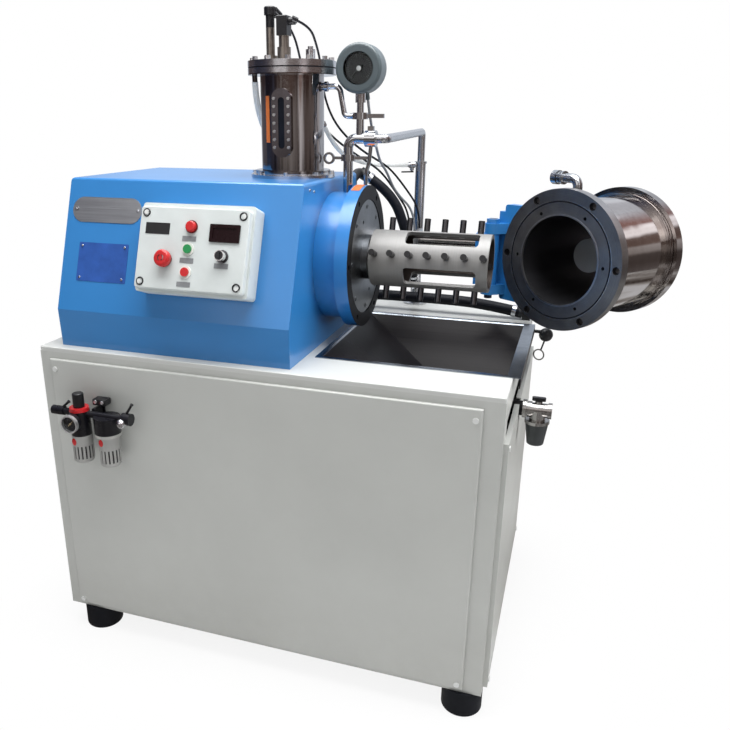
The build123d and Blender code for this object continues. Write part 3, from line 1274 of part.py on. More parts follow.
# rubber bung with its pull ring, parked on a peg in the right wall
bung_x = 641.0
bung_y = 245.0
bung_z = cabinet_top - 31.0
bung_radius = 20.0
ring_radius = 15.5
ring_wire = 2.0
with BuildPart() as parked_bung:
    peg_plane = Plane(origin=(0, bung_y, bung_z + 8), x_dir=(0, 1, 0), z_dir=(1, 0, 0))
    ring(peg_plane, cabinet_right, bung_x, 5)
    ring(peg_plane, cabinet_right, cabinet_right + 4, 11)
    with Locations((bung_x, bung_y, bung_z)):
        Sphere(bung_radius)
    link_top = Vector(bung_x - 2, bung_y, bung_z - bung_radius + 3)
    link_low = Vector(bung_x - 10, bung_y, bung_z - bung_radius - 27)
    link_plane = Plane(origin=link_top, z_dir=link_low - link_top)
    ring(link_plane, 0, (link_low - link_top).length, 2.4)
    ring_centre = link_low + Vector(-5, 0, -ring_radius)
    with Locations(Plane(origin=ring_centre, x_dir=(0, 0, 1), z_dir=(-0.32, -0.95, 0))):
        Torus(ring_radius, ring_wire)

# clear hose beside the tank, from its flange to the top of the cover
with BuildPart() as clear_hose_left:
    cord(left_clear_route, left_clear_size, "clear_hose_left")
save(clear_hose_left, "clear_hose_left")
with BuildPart() as cover_gland:
    end_run = Vector(*left_clear_route[3]) - Vector(*left_clear_route[2])
    gland_face = Plane(origin=left_clear_route[3], z_dir=end_run.normalized())
    ring(gland_face, 0, 9, 9)
    ring(Plane(origin=(-112, 68, cover_top)), 0, 6, 18)

# clear hose behind the tank to the stand pipe's small valve
right_clear_size = 12.0
valve_mouth = Vector(stand_x, stand_y, valve_z) + valve_out * valve_reach
right_clear_route = on_deck([(20, 46, 550), (38, 88, 488), (66, 190, 454)])
right_clear_route += [tuple(valve_mouth + valve_out * 100), tuple(valve_mouth)]
with BuildPart() as clear_hose_right:
    cord(right_clear_route, right_clear_size, "clear_hose_right")
save(clear_hose_right, "clear_hose_right")
with BuildPart() as tank_nozzle:
    nozzle_back = (Vector(*right_clear_route[0]) - Vector(*right_clear_route[1])).normalized()
    nozzle_bend = Vector(*right_clear_route[0]) + nozzle_back * 24
    ring(Plane(origin=right_clear_route[0], z_dir=nozzle_back), 0, 24, 6)
    ring(Plane(origin=right_clear_route[0], z_dir=nozzle_back), 0, 10, 8)
    with Locations(tuple(nozzle_bend)):
        Sphere(6)
    tank_centre = Vector(tank_x, tank_y, nozzle_bend.Z)
    nozzle_in = (tank_centre - nozzle_bend).normalized()
    ring(Plane(origin=nozzle_bend, z_dir=nozzle_in), 0, (tank_centre - nozzle_bend).length - tank_radius + 4, 6)
    ring(tank_line, cabinet_top + 530, cabinet_top + 610, tank_radius, mode=Mode.SUBTRACT)

# cables from the two probes and the gauge to the junction box
with BuildPart() as probe_cable_left:
    cord(cable_one_route, cable_size, "probe_cable_left")
save(probe_cable_left, "probe_cable_left")
with BuildPart() as probe_cable_right:
    cord(cable_two_route, cable_size, "probe_cable_right")
save(probe_cable_right, "probe_cable_right")
gauge_cable_size = 7.0
with BuildPart() as gauge_cable:
    cord(cable_three_route, gauge_cable_size, "gauge_cable")
save(gauge_cable, "gauge_cable")

# ---------------------------------------------------------------- joined pieces
join("cover_panels", front_panel, rear_panel, left_panel, right_panel)
save(drain_cock, "drain_pipework")
join("plates", name_plate, data_plate, label_strips)
join("panel_screws", panel_screws, lid_screws)
join("bearing_housing", bearing_housing, guide_housing)
join("seal_cover", seal_cover, seal_bolts)
join("shaft_bearings", shaft_bearings, shaft_seal)
join("main_shaft", main_shaft, rotor_nut)
join("motor_rotor", motor_shaft, motor_pulley)
join("motor_body", motor_base, motor_body)
save(chamber_body, "chamber_body")
join("cooling_jacket", cooling_jacket, water_elbow)
join("end_cover", end_cover, end_cover_bolts)
join("hinge_bracket", hinge_bracket, hinge_pin)
join("hinge_slide", guide_rods, hinge_knuckle)
join("tank_body", tank_body, sight_frame, hose_tail, tank_nozzle)
join("tank_cover", tank_cover, filler_cap)
join("tank_bolts", tank_bolts, sight_screws)
join("probes", level_probe, heat_probe)
join("glass_panes", sight_glass, gauge_lens, air_gauge_lens)
join("seal_pipework", seal_pipe, leg_clamp, arch_clamp, gauge_stem, flush_pipe, balance_pipe)
join("stand_pipe", stand_pipe, cross_pipe)
join("hose_fittings", hose_elbow, hose_bulkheads, cover_gland, junction_box, parked_bung)
join("air_unit", air_body, air_ring, air_bracket, air_gauge_case)
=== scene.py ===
import math

import bmesh
import bpy
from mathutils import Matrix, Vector


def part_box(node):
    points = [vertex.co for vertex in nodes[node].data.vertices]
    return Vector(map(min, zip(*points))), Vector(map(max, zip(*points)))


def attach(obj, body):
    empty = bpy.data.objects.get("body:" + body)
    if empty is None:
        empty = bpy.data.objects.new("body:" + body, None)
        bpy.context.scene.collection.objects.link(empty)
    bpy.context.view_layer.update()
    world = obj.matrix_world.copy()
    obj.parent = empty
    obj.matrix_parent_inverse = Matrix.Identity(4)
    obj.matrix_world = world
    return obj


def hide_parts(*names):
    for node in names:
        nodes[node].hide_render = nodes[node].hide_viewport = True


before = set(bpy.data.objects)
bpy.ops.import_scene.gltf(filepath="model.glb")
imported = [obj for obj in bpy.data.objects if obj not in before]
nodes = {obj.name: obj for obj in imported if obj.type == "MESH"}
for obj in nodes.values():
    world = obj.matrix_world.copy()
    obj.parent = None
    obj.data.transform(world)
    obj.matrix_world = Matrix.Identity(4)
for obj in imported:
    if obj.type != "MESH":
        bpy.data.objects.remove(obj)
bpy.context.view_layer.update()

bpy.ops.object.select_all(action="DESELECT")
print("frame loaded,", len(nodes), "nodes")

# camera: place in metres, turn in degrees, lens in millimetres
view = {"place": (0.6974, -1.9567, 1.4418), "turn": (70.71, 0.0, 18.89), "lens": 36.645, "shift": (0.0597, 0.017)}

bpy.ops.object.camera_add(location=view["place"], rotation=[math.radians(a) for a in view["turn"]])
camera = bpy.context.object
camera.data.sensor_width = 36.0
camera.data.lens = view["lens"]
camera.data.shift_x, camera.data.shift_y = view["shift"]
bpy.context.scene.camera = camera
bpy.context.scene.view_settings.view_transform = "Standard"
print("camera placed")


# helpers for finishes: all of them read Object coordinates, in metres
def newMaterial(name, colour, roughness, metallic=0.0, specular=0.5):
    material = bpy.data.materials.new(name)
    material.use_nodes = True
    tree = material.node_tree
    shader = tree.nodes["Principled BSDF"]
    shader.inputs["Base Color"].default_value = (*colour, 1.0)
    shader.inputs["Roughness"].default_value = roughness
    shader.inputs["Metallic"].default_value = metallic
    shader.inputs["Specular IOR Level"].default_value = specular
    return material, tree, shader


def place(tree, stretch=(1, 1, 1), turn=(0, 0, 0), centre=(0, 0, 0)):
    # object coordinates about a centre, turned, then divided by stretch
    coords = tree.nodes.new("ShaderNodeTexCoord")
    mapping = tree.nodes.new("ShaderNodeMapping")
    mapping.vector_type = "TEXTURE"
    mapping.inputs["Location"].default_value = centre
    mapping.inputs["Rotation"].default_value = [math.radians(a) for a in turn]
    mapping.inputs["Scale"].default_value = stretch
    tree.links.new(coords.outputs["Object"], mapping.inputs["Vector"])
    return mapping.outputs["Vector"]


def noise(tree, vector, scale, detail=3.0, roughness=0.5):
    node = tree.nodes.new("ShaderNodeTexNoise")
    node.inputs["Scale"].default_value = scale
    node.inputs["Detail"].default_value = detail
    node.inputs["Roughness"].default_value = roughness
    tree.links.new(vector, node.inputs["Vector"])
    return node.outputs["Fac"]


def spread(tree, value, fromLow, fromHigh, toLow, toHigh):
    node = tree.nodes.new("ShaderNodeMapRange")
    for name, number in (("From Min", fromLow), ("From Max", fromHigh), ("To Min", toLow), ("To Max", toHigh)):
        node.inputs[name].default_value = number
    tree.links.new(value, node.inputs["Value"])
    return node.outputs["Result"]


def colours(tree, value, stops):
    # a colour ramp: stops are (position, colour)
    node = tree.nodes.new("ShaderNodeValToRGB")
    ramp = node.color_ramp
    while len(ramp.elements) < len(stops):
        ramp.elements.new(0.5)
    for element, (position, colour) in zip(ramp.elements, stops):
        element.position = position
        element.color = (*colour, 1.0)
    tree.links.new(value, node.inputs["Fac"])
    return node.outputs["Color"]


def mixColours(tree, mask, first, second):
    # each colour is a tuple or a socket
    node = tree.nodes.new("ShaderNodeMix")
    node.data_type = "RGBA"
    tree.links.new(mask, node.inputs["Factor"])
    for socket, colour in ((node.inputs[6], first), (node.inputs[7], second)):
        if isinstance(colour, tuple):
            socket.default_value = (*colour, 1.0)
        else:
            tree.links.new(colour, socket)
    return node.outputs[2]


def maths(tree, operation, first, second=None):
    # each value is a number or a socket
    node = tree.nodes.new("ShaderNodeMath")
    node.operation = operation
    for socket, value in zip(node.inputs, (first, second)):
        if isinstance(value, (int, float)):
            socket.default_value = value
        elif value is not None:
            tree.links.new(value, socket)
    return node.outputs[0]


def bump(tree, shader, height, strength, distance):
    node = tree.nodes.new("ShaderNodeBump")
    node.inputs["Strength"].default_value = strength
    node.inputs["Distance"].default_value = distance
    tree.links.new(height, node.inputs["Height"])
    tree.links.new(node.outputs["Normal"], shader.inputs["Normal"])


def along(tree, axis, centre=(0, 0, 0), turn=(0, 0, 0)):
    # distance along one axis of a turned frame
    split = tree.nodes.new("ShaderNodeSeparateXYZ")
    tree.links.new(place(tree, turn=turn, centre=centre), split.inputs["Vector"])
    return split.outputs[axis]


def reach(tree, centre, keep=(1, 1, 1), turn=(0, 0, 0)):
    # distance from a centre, measured in the axes that are kept
    flat = tree.nodes.new("ShaderNodeVectorMath")
    flat.operation = "MULTIPLY"
    flat.inputs[1].default_value = keep
    tree.links.new(place(tree, turn=turn, centre=centre), flat.inputs[0])
    length = tree.nodes.new("ShaderNodeVectorMath")
    length.operation = "LENGTH"
    tree.links.new(flat.outputs["Vector"], length.inputs[0])
    return length.outputs["Value"]


def over(tree, value, edge, soft=0.0003):
    # a mask: 1 where the value is over the edge
    return spread(tree, value, edge - soft, edge + soft, 0.0, 1.0)


def under(tree, value, edge, soft=0.0003):
    return spread(tree, value, edge - soft, edge + soft, 1.0, 0.0)


def both(tree, *masks):
    result = masks[0]
    for mask in masks[1:]:
        result = maths(tree, "MULTIPLY", result, mask)
    return result


def either(tree, *masks):
    result = masks[0]
    for mask in masks[1:]:
        result = maths(tree, "MAXIMUM", result, mask)
    return result


def between(tree, value, low, high):
    return both(tree, over(tree, value, low), under(tree, value, high))


def shade(colour, amount):
    return tuple(min(1.0, c * amount) for c in colour)


def overlay(material, mask, colour, roughness, metallic):
    # a second finish inside a mask, on the same shader
    tree = material.node_tree
    shader = tree.nodes["Principled BSDF"]
    cloud = noise(tree, place(tree), 30.0, 4.0, 0.6)
    second = colours(tree, cloud, [(0.3, shade(colour, 0.82)), (0.7, shade(colour, 1.12))])
    for name, value in (("Base Color", second), ("Roughness", roughness), ("Metallic", metallic)):
        socket = shader.inputs[name]
        before = socket.links[0].from_socket if socket.is_linked else None
        if name == "Base Color":
            tree.links.new(mixColours(tree, mask, before or tuple(socket.default_value)[:3], value), socket)
        elif before is None:
            tree.links.new(spread(tree, mask, 0.0, 1.0, socket.default_value, value), socket)
        else:
            node = tree.nodes.new("ShaderNodeMix")
            tree.links.new(mask, node.inputs["Factor"])
            tree.links.new(before, node.inputs["A"])
            node.inputs["B"].default_value = value
            tree.links.new(node.outputs["Result"], socket)


# kinds of finish
def sprayPaint(name, colour, roughness, peel=0.25, grime=0.0, soiled=(0.25, 0.23, 0.2), coat=0.25):
    # sprayed enamel: orange peel, slow colour drift, some grime low down
    material, tree, shader = newMaterial(name, colour, roughness)
    where = place(tree)
    drift = noise(tree, where, 3.5, 4.0, 0.6)
    enamel = colours(tree, drift, [(0.3, shade(colour, 0.955)), (0.7, shade(colour, 1.03))])
    if grime:
        nearFloor = spread(tree, along(tree, "Z"), 0.07, 0.32, grime, 0.0)
        smudge = maths(tree, "MULTIPLY", nearFloor, noise(tree, where, 22.0, 5.0, 0.65))
        enamel = mixColours(tree, smudge, enamel, soiled)
    tree.links.new(enamel, shader.inputs["Base Color"])
    wipe = noise(tree, where, 3.0, 2.0)
    tree.links.new(spread(tree, wipe, 0.25, 0.75, roughness, roughness + 0.05), shader.inputs["Roughness"])
    shader.inputs["Coat Weight"].default_value = coat
    shader.inputs["Coat Roughness"].default_value = 0.16
    bump(tree, shader, noise(tree, where, 420.0, 2.0), peel, 0.0004)
    return material


def turnedSteel(name, colour, roughness, stretch, turn=(0, 0, 0), centre=(0, 0, 0), grain=0.3, stain=0.85,
                metallic=1.0, specular=0.5):
    # lathe or belt marks: fine across, long along
    material, tree, shader = newMaterial(name, colour, roughness, metallic, specular)
    marks = noise(tree, place(tree, stretch=stretch, turn=turn, centre=centre), 1.0, 4.0, 0.6)
    cloud = noise(tree, place(tree), 14.0, 4.0, 0.6)
    tone = maths(tree, "MULTIPLY", marks, maths(tree, "ADD", cloud, 0.5))
    metal = colours(tree, tone, [(0.22, shade(colour, stain)), (0.72, shade(colour, 1.1))])
    tree.links.new(metal, shader.inputs["Base Color"])
    tree.links.new(spread(tree, marks, 0.25, 0.75, roughness * 0.75, roughness * 1.3), shader.inputs["Roughness"])
    bump(tree, shader, marks, grain, 0.0002)
    return material


def ringSteel(name, colour, roughness, centre, axis, pitch=0.0011):
    # face turning: fine rings about an axis, by distance from it
    material, tree, shader = newMaterial(name, colour, roughness, 1.0)
    rings = tree.nodes.new("ShaderNodeCombineXYZ")
    tree.links.new(maths(tree, "DIVIDE", reach(tree, centre, (0, 1, 1), axis), pitch), rings.inputs["X"])
    marks = noise(tree, rings.outputs["Vector"], 1.0, 3.0)
    cloud = noise(tree, place(tree), 18.0, 4.0, 0.6)
    tone = maths(tree, "MULTIPLY", marks, maths(tree, "ADD", cloud, 0.5))
    metal = colours(tree, tone, [(0.25, shade(colour, 0.55)), (0.7, shade(colour, 1.35))])
    tree.links.new(metal, shader.inputs["Base Color"])
    tree.links.new(spread(tree, marks, 0.25, 0.75, roughness * 0.8, roughness * 1.25), shader.inputs["Roughness"])
    bump(tree, shader, marks, 0.25, 0.0002)
    return material


def mirrorSteel(name, colour, roughness, stretch=(0.06, 0.06, 0.5), rolled=0.0012):
    # buffed sheet: a mirror with a slight roll in it and faint wiping marks
    material, tree, shader = newMaterial(name, colour, roughness, 1.0)
    roll = noise(tree, place(tree, stretch=stretch), 1.0, 2.0, 0.4)
    wipe = noise(tree, place(tree), 60.0, 5.0, 0.7)
    tree.links.new(spread(tree, wipe, 0.35, 0.8, roughness, roughness + 0.1), shader.inputs["Roughness"])
    tree.links.new(colours(tree, wipe, [(0.3, shade(colour, 0.9)), (0.7, colour)]), shader.inputs["Base Color"])
    bump(tree, shader, roll, 0.35, rolled)
    return material


def moulded(name, colour, roughness, grain=160.0, depth=0.15, specular=0.5):
    # moulded plastic or rubber: a fine skin and slightly uneven gloss
    material, tree, shader = newMaterial(name, colour, roughness, specular=specular)
    where = place(tree)
    tone = colours(tree, noise(tree, where, 25.0, 4.0), [(0.3, shade(colour, 0.96)), (0.7, shade(colour, 1.03))])
    gloss = spread(tree, noise(tree, where, 40.0, 4.0), 0.3, 0.7, roughness - 0.06, roughness + 0.08)
    tree.links.new(tone, shader.inputs["Base Color"])
    tree.links.new(gloss, shader.inputs["Roughness"])
    bump(tree, shader, noise(tree, where, grain * 8, 2.0), depth, 0.0003)
    return material


def clearStuff(name, colour, roughness, weight, index):
    # glass or clear plastic, with a faint haze
    material, tree, shader = newMaterial(name, colour, roughness)
    shader.inputs["Transmission Weight"].default_value = weight
    shader.inputs["IOR"].default_value = index
    haze = noise(tree, place(tree), 35.0, 4.0)
    tree.links.new(spread(tree, haze, 0.3, 0.7, roughness, roughness + 0.06), shader.inputs["Roughness"])
    return material


chamberTurn = (0.0, 0.0, 55.5)   # the open chamber's axis, about Z
mouthCentre = (0.6565, 0.0451, 1.092)
shaftCentre = (0.0, -0.052, 1.092)
lathe = (0.0011, 0.4, 0.4)   # turning marks round a part that lies along X

# one finish all over
cabinetPaint = sprayPaint("cabinetPaint", (0.485, 0.495, 0.475), 0.42, grime=0.25)
# the top plate wears the cabinet's paint; it is mixed lighter here as painted light from above
deckPaintLitTop = sprayPaint("deckPaintLitTop", (0.54, 0.55, 0.535), 0.42)
bluePaint = sprayPaint("bluePaint", (0.028, 0.193, 0.49), 0.28, peel=0.03, coat=0.5)
castIron = sprayPaint("castIron", (0.11, 0.115, 0.12), 0.55, peel=0.9)
whitePlastic = moulded("whitePlastic", (0.58, 0.62, 0.615), 0.4)
blackPlastic = moulded("blackPlastic", (0.007, 0.007, 0.009), 0.34)
blackRubber = moulded("blackRubber", (0.006, 0.007, 0.011), 0.55, grain=90.0, depth=0.3, specular=0.2)
redPlastic = moulded("redPlastic", (0.5, 0.018, 0.02), 0.25)
greenPlastic = moulded("greenPlastic", (0.015, 0.24, 0.07), 0.28)
cableGrey = moulded("cableGrey", (0.24, 0.25, 0.27), 0.45)
screwFinish = moulded("screwFinish", (0.66, 0.67, 0.66), 0.3)
meterFinish = moulded("meterFinish", (0.012, 0.004, 0.005), 0.25, specular=0.12)   # smoked window
stainless = turnedSteel("stainless", (0.55, 0.56, 0.58), 0.26, lathe)
boltSteel = turnedSteel("boltSteel", (0.78, 0.79, 0.8), 0.3, lathe)
screenSteel = turnedSteel("screenSteel", (0.34, 0.36, 0.36), 0.42, (0.0012, 0.3, 0.3), chamberTurn, mouthCentre)
polished = mirrorSteel("polished", (0.6, 0.56, 0.54), 0.07)
pipeSteel = mirrorSteel("pipeSteel", (0.62, 0.63, 0.65), 0.1)
coverSteel = ringSteel("coverSteel", (0.175, 0.185, 0.198), 0.34, shaftCentre, (0, 0, 0))
clearPlastic = clearStuff("clearPlastic", (0.8, 0.82, 0.82), 0.2, 0.5, 1.4)

# rotor: dull drum with painted shade inside its bore, dark pins with painted shade on their ends for the hex sockets
rotorLook = {"bore": 0.0638, "pinEndShade": 0.1052}
drumSteel = turnedSteel("drumSteel", (0.262, 0.26, 0.256), 0.5, (0.0013, 0.4, 0.4), metallic=0.4)
tree = drumSteel.node_tree
# the bore is painted dark as shade inside the drum
boreShadePainted = under(tree, reach(tree, shaftCentre, (0, 1, 1)), rotorLook["bore"])
overlay(drumSteel, boreShadePainted, (0.04, 0.03, 0.026), 0.4, 0.6)
pinSteel = turnedSteel("pinSteel", (0.09, 0.09, 0.095), 0.3, (0.002, 0.01, 0.01))
tree = pinSteel.node_tree
# the pin ends are painted black as shade in their hex sockets
pinEndShade = over(tree, reach(tree, shaftCentre, (0, 1, 1)), rotorLook["pinEndShade"])
overlay(pinSteel, pinEndShade, (0.006, 0.006, 0.007), 0.5, 0.0)

# tank: rolled mirror sheet, with a painted darker reflection round the sight glass and a painted paler reflection on
# its flanges
tankLook = {"frameFront": -0.138, "frameLow": 1.325, "frameHigh": 1.535, "flangeLow": 1.306, "flangeHigh": 1.5445}
tankSteel = mirrorSteel("tankSteel", (0.42, 0.4, 0.4), 0.06, stretch=(0.2, 0.2, 0.8), rolled=0.0009)
tree = tankSteel.node_tree
height = along(tree, "Z")
# the flat frame round the sight glass is painted darker as a dark reflection
frameReflectionDark = both(tree, under(tree, along(tree, "Y"), tankLook["frameFront"]),
                  between(tree, height, tankLook["frameLow"], tankLook["frameHigh"]))
overlay(tankSteel, frameReflectionDark, (0.34, 0.33, 0.37), 0.1, 1.0)
# the flanges are painted paler as a brighter reflection
flangeReflectionPale = either(tree, under(tree, height, tankLook["flangeLow"]), over(tree, height, tankLook["flangeHigh"]))
overlay(tankSteel, flangeReflectionPale, (0.72, 0.73, 0.76), 0.22, 1.0)

# tray: stained dark sheet, with a painted highlight along the hem at its top
trayLook = {"hem": 0.0026}
traySteel = turnedSteel("traySteel", (0.0125, 0.011, 0.0125), 0.32, (0.5, 0.0012, 0.5), stain=0.7, metallic=0.0,
                        specular=0.1)
tree = traySteel.node_tree
# the top of the hem is painted bright as an edge highlight
trayHemHighlight = over(tree, along(tree, "Z"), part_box("drip_tray")[1][2] - trayLook["hem"])
overlay(traySteel, trayHemHighlight, (0.3, 0.33, 0.37), 0.25, 1.0)

# liner: dark bore, with a painted highlight on its edge at the mouth
linerLook = {"edge": 0.0045}
linerSteel = turnedSteel("linerSteel", (0.14, 0.14, 0.155), 0.4, (0.4, 0.4, 0.0012), chamberTurn, mouthCentre)
tree = linerSteel.node_tree
# the mouth edge of the liner is painted bright as a highlight
linerEdgeHighlight = under(tree, along(tree, "X", mouthCentre, chamberTurn), linerLook["edge"])
overlay(linerSteel, linerEdgeHighlight, (0.55, 0.55, 0.57), 0.28, 1.0)

# mill housing: sprayed, with its flange face and its recess left machined
housingLook = {"faceFrom": 0.1737, "recessFrom": 0.142, "recess": 0.1805}
housingPaint = sprayPaint("housingPaint", (0.02, 0.184, 0.5), 0.28, peel=0.03)
tree = housingPaint.node_tree
across = along(tree, "X")
recess = both(tree, over(tree, across, housingLook["recessFrom"]),
              under(tree, reach(tree, shaftCentre, (0, 1, 1)), housingLook["recess"]))
machined = either(tree, over(tree, across, housingLook["faceFrom"]), recess)
overlay(housingPaint, machined, (0.01, 0.01, 0.012), 0.5, 0.0)
for name, sprayed, bare in (("Coat Weight", 0.25, 0.0), ("Specular IOR Level", 0.5, 0.12)):
    tree.links.new(spread(tree, machined, 0.0, 1.0, sprayed, bare), tree.nodes["Principled BSDF"].inputs[name])

# hinge bracket: painted, its pin left bare and oiled
bracketLook = {"pinAt": (0.473, 0.17, 0.0), "pin": 0.0114}
bracketPaint = sprayPaint("bracketPaint", (0.026, 0.193, 0.5), 0.28, peel=0.03)
tree = bracketPaint.node_tree
hingePin = under(tree, reach(tree, bracketLook["pinAt"], (1, 1, 0)), bracketLook["pin"])
overlay(bracketPaint, hingePin, (0.03, 0.045, 0.09), 0.35, 0.7)

# chamber body: dark machined mouth with a painted highlight ring beside its seal, painted shade in its holes and
# groove, buffed rear flange
chamberLook = {"face": 0.0012, "highlightFrom": 0.0004, "highlightTo": 0.0014, "holesTo": 0.0275, "holesWithin": 0.1795,
               "rearFrom": 0.03}
chamberSteel = ringSteel("chamberSteel", (0.335, 0.33, 0.332), 0.32, mouthCentre, chamberTurn)
tree = chamberSteel.node_tree
depth = along(tree, "X", mouthCentre, chamberTurn)
fromAxis = reach(tree, mouthCentre, (0, 1, 1), chamberTurn)
sealEdge = (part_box("mouth_ring_seal")[1][2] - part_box("mouth_ring_seal")[0][2]) / 2
# a thin ring beside the seal, painted bright as a highlight
sealRingHighlight = both(tree, between(tree, fromAxis, sealEdge + chamberLook["highlightFrom"], sealEdge + chamberLook["highlightTo"]),
            under(tree, depth, chamberLook["face"]))
overlay(chamberSteel, sealRingHighlight, (0.85, 0.84, 0.82), 0.25, 1.0)
# recesses behind the face, the bolt holes and the groove, are painted dark as shade
holeShadePainted = both(tree, between(tree, depth, chamberLook["face"], chamberLook["holesTo"]),
               under(tree, fromAxis, chamberLook["holesWithin"]))
overlay(chamberSteel, holeShadePainted, (0.01, 0.01, 0.012), 0.5, 0.0)
overlay(chamberSteel, over(tree, depth, chamberLook["rearFrom"]), (0.46, 0.43, 0.42), 0.09, 1.0)

# cooling jacket: buffed, with a duller elbow on top and painted shade on its collar against the mouth flange
jacketLook = {"elbowFrom": 1.2436, "collarTo": 0.0263}
jacketSteel = mirrorSteel("jacketSteel", (0.6, 0.56, 0.54), 0.07)
tree = jacketSteel.node_tree
overlay(jacketSteel, over(tree, along(tree, "Z"), jacketLook["elbowFrom"]), (0.52, 0.54, 0.56), 0.22, 1.0)
# the collar next to the mouth flange is painted dark as shade in the joint
collarShade = under(tree, along(tree, "X", mouthCentre, chamberTurn), jacketLook["collarTo"])
overlay(jacketSteel, collarShade, (0.01, 0.01, 0.012), 0.5, 0.0)

# hinge slide: bare rods, painted knuckle block
slideLook = {"rodsTo": 0.4297}
slideFinish = sprayPaint("slideFinish", (0.02, 0.184, 0.53), 0.3, peel=0.03)
tree = slideFinish.node_tree
overlay(slideFinish, under(tree, along(tree, "X"), slideLook["rodsTo"]), (0.42, 0.41, 0.4), 0.25, 1.0)

# probes: black heads on bare steel stems
probeLook = {"leftTo": -0.0755, "leftStem": 1.6551, "rightStem": 1.6341}
probeFinish = moulded("probeFinish", (0.006, 0.006, 0.008), 0.36)
tree = probeFinish.node_tree
height = along(tree, "Z")
isLeft = under(tree, along(tree, "X"), probeLook["leftTo"])
leftStem = both(tree, under(tree, height, probeLook["leftStem"]), isLeft)
rightStem = both(tree, under(tree, height, probeLook["rightStem"]), maths(tree, "SUBTRACT", 1.0, isLeft))
overlay(probeFinish, either(tree, leftStem, rightStem), (0.28, 0.25, 0.22), 0.28, 0.9)

# plates: etched name plate, blue data plate, grey labels and black ones on the control lid
plateLook = {"dataTo": -0.36, "dataTop": 1.16, "labelsFrom": -0.3, "greyFrom": -0.222, "soft": 0.0005}
plateMetal = turnedSteel("plateMetal", (0.44, 0.46, 0.48), 0.42, (0.3, 0.0009, 0.3))
tree = plateMetal.node_tree
across = along(tree, "X")
dataPlate = both(tree, under(tree, across, plateLook["dataTo"]), under(tree, along(tree, "Z"), plateLook["dataTop"]))
overlay(plateMetal, dataPlate, (0.022, 0.085, 0.34), 0.35, 0.0)
isLabel = over(tree, across, plateLook["labelsFrom"])
greyLabels = both(tree, isLabel, over(tree, across, plateLook["greyFrom"], plateLook["soft"]))
overlay(plateMetal, greyLabels, (0.2, 0.21, 0.22), 0.5, 0.0)
blackLabels = both(tree, isLabel, under(tree, across, plateLook["greyFrom"], plateLook["soft"]))
overlay(plateMetal, blackLabels, (0.006, 0.006, 0.007), 0.6, 0.0)

# gauge: hammered grey case with a black dial, dark pointer on a bright hub
dialCentre = (0.149, -0.081, 1.555)
gaugeLook = {"dial": 0.0365, "dialFront": -0.0795, "dialBack": -0.05, "hub": 0.0058}
gaugeFinish = sprayPaint("gaugeFinish", (0.075, 0.098, 0.108), 0.4, peel=0.5)
tree = gaugeFinish.node_tree
inDial = both(tree, under(tree, reach(tree, dialCentre, (1, 0, 1)), gaugeLook["dial"]),
              between(tree, along(tree, "Y"), gaugeLook["dialFront"], gaugeLook["dialBack"]))
overlay(gaugeFinish, inDial, (0.012, 0.013, 0.016), 0.4, 0.0)
needleFinish = moulded("needleFinish", (0.02, 0.02, 0.022), 0.35)
tree = needleFinish.node_tree
hub = under(tree, reach(tree, dialCentre, (1, 0, 1)), gaugeLook["hub"])
overlay(needleFinish, hub, (0.45, 0.45, 0.46), 0.3, 0.6)

# speed knob: black with a bright skirt, round an axis as tilted as the control lid
knobLook = {"axisAt": (-0.079, -0.3356, 1.1123), "tilt": (70.28, 0.0, 0.0), "skirt": 0.0107}
knobFinish = moulded("knobFinish", (0.012, 0.012, 0.014), 0.3)
tree = knobFinish.node_tree
skirt = over(tree, reach(tree, knobLook["axisAt"], (1, 1, 0), knobLook["tilt"]), knobLook["skirt"])
overlay(knobFinish, skirt, (0.7, 0.7, 0.7), 0.12, 1.0)

# bezels: cream round the two buttons, dark red below the lamp and the stop head, bright below the knob
bezelLook = {"lampFrom": 1.168, "stopTo": -0.2, "knobFrom": -0.12}
bezelFinish = moulded("bezelFinish", (0.7, 0.7, 0.66), 0.35)
tree = bezelFinish.node_tree
across = along(tree, "X")
redBezels = either(tree, over(tree, along(tree, "Z"), bezelLook["lampFrom"]), under(tree, across, bezelLook["stopTo"]))
overlay(bezelFinish, redBezels, (0.12, 0.012, 0.012), 0.3, 0.0)
overlay(bezelFinish, over(tree, across, bezelLook["knobFrom"]), (0.16, 0.16, 0.17), 0.25, 1.0)

# panes: clear, but dark where the tank is full behind them
paneLook = {"fullTo": 0.02, "fullLow": 1.3, "fullHigh": 1.54}
clearGlass = clearStuff("clearGlass", (0.96, 0.98, 0.97), 0.0, 1.0, 1.18)
tree = clearGlass.node_tree
full = both(tree, under(tree, along(tree, "X"), paneLook["fullTo"]),
            between(tree, along(tree, "Z"), paneLook["fullLow"], paneLook["fullHigh"]))
overlay(clearGlass, full, (0.012, 0.014, 0.02), 0.12, 0.0)
tree.links.new(spread(tree, full, 0.0, 1.0, 1.0, 0.0), tree.nodes["Principled BSDF"].inputs["Transmission Weight"])

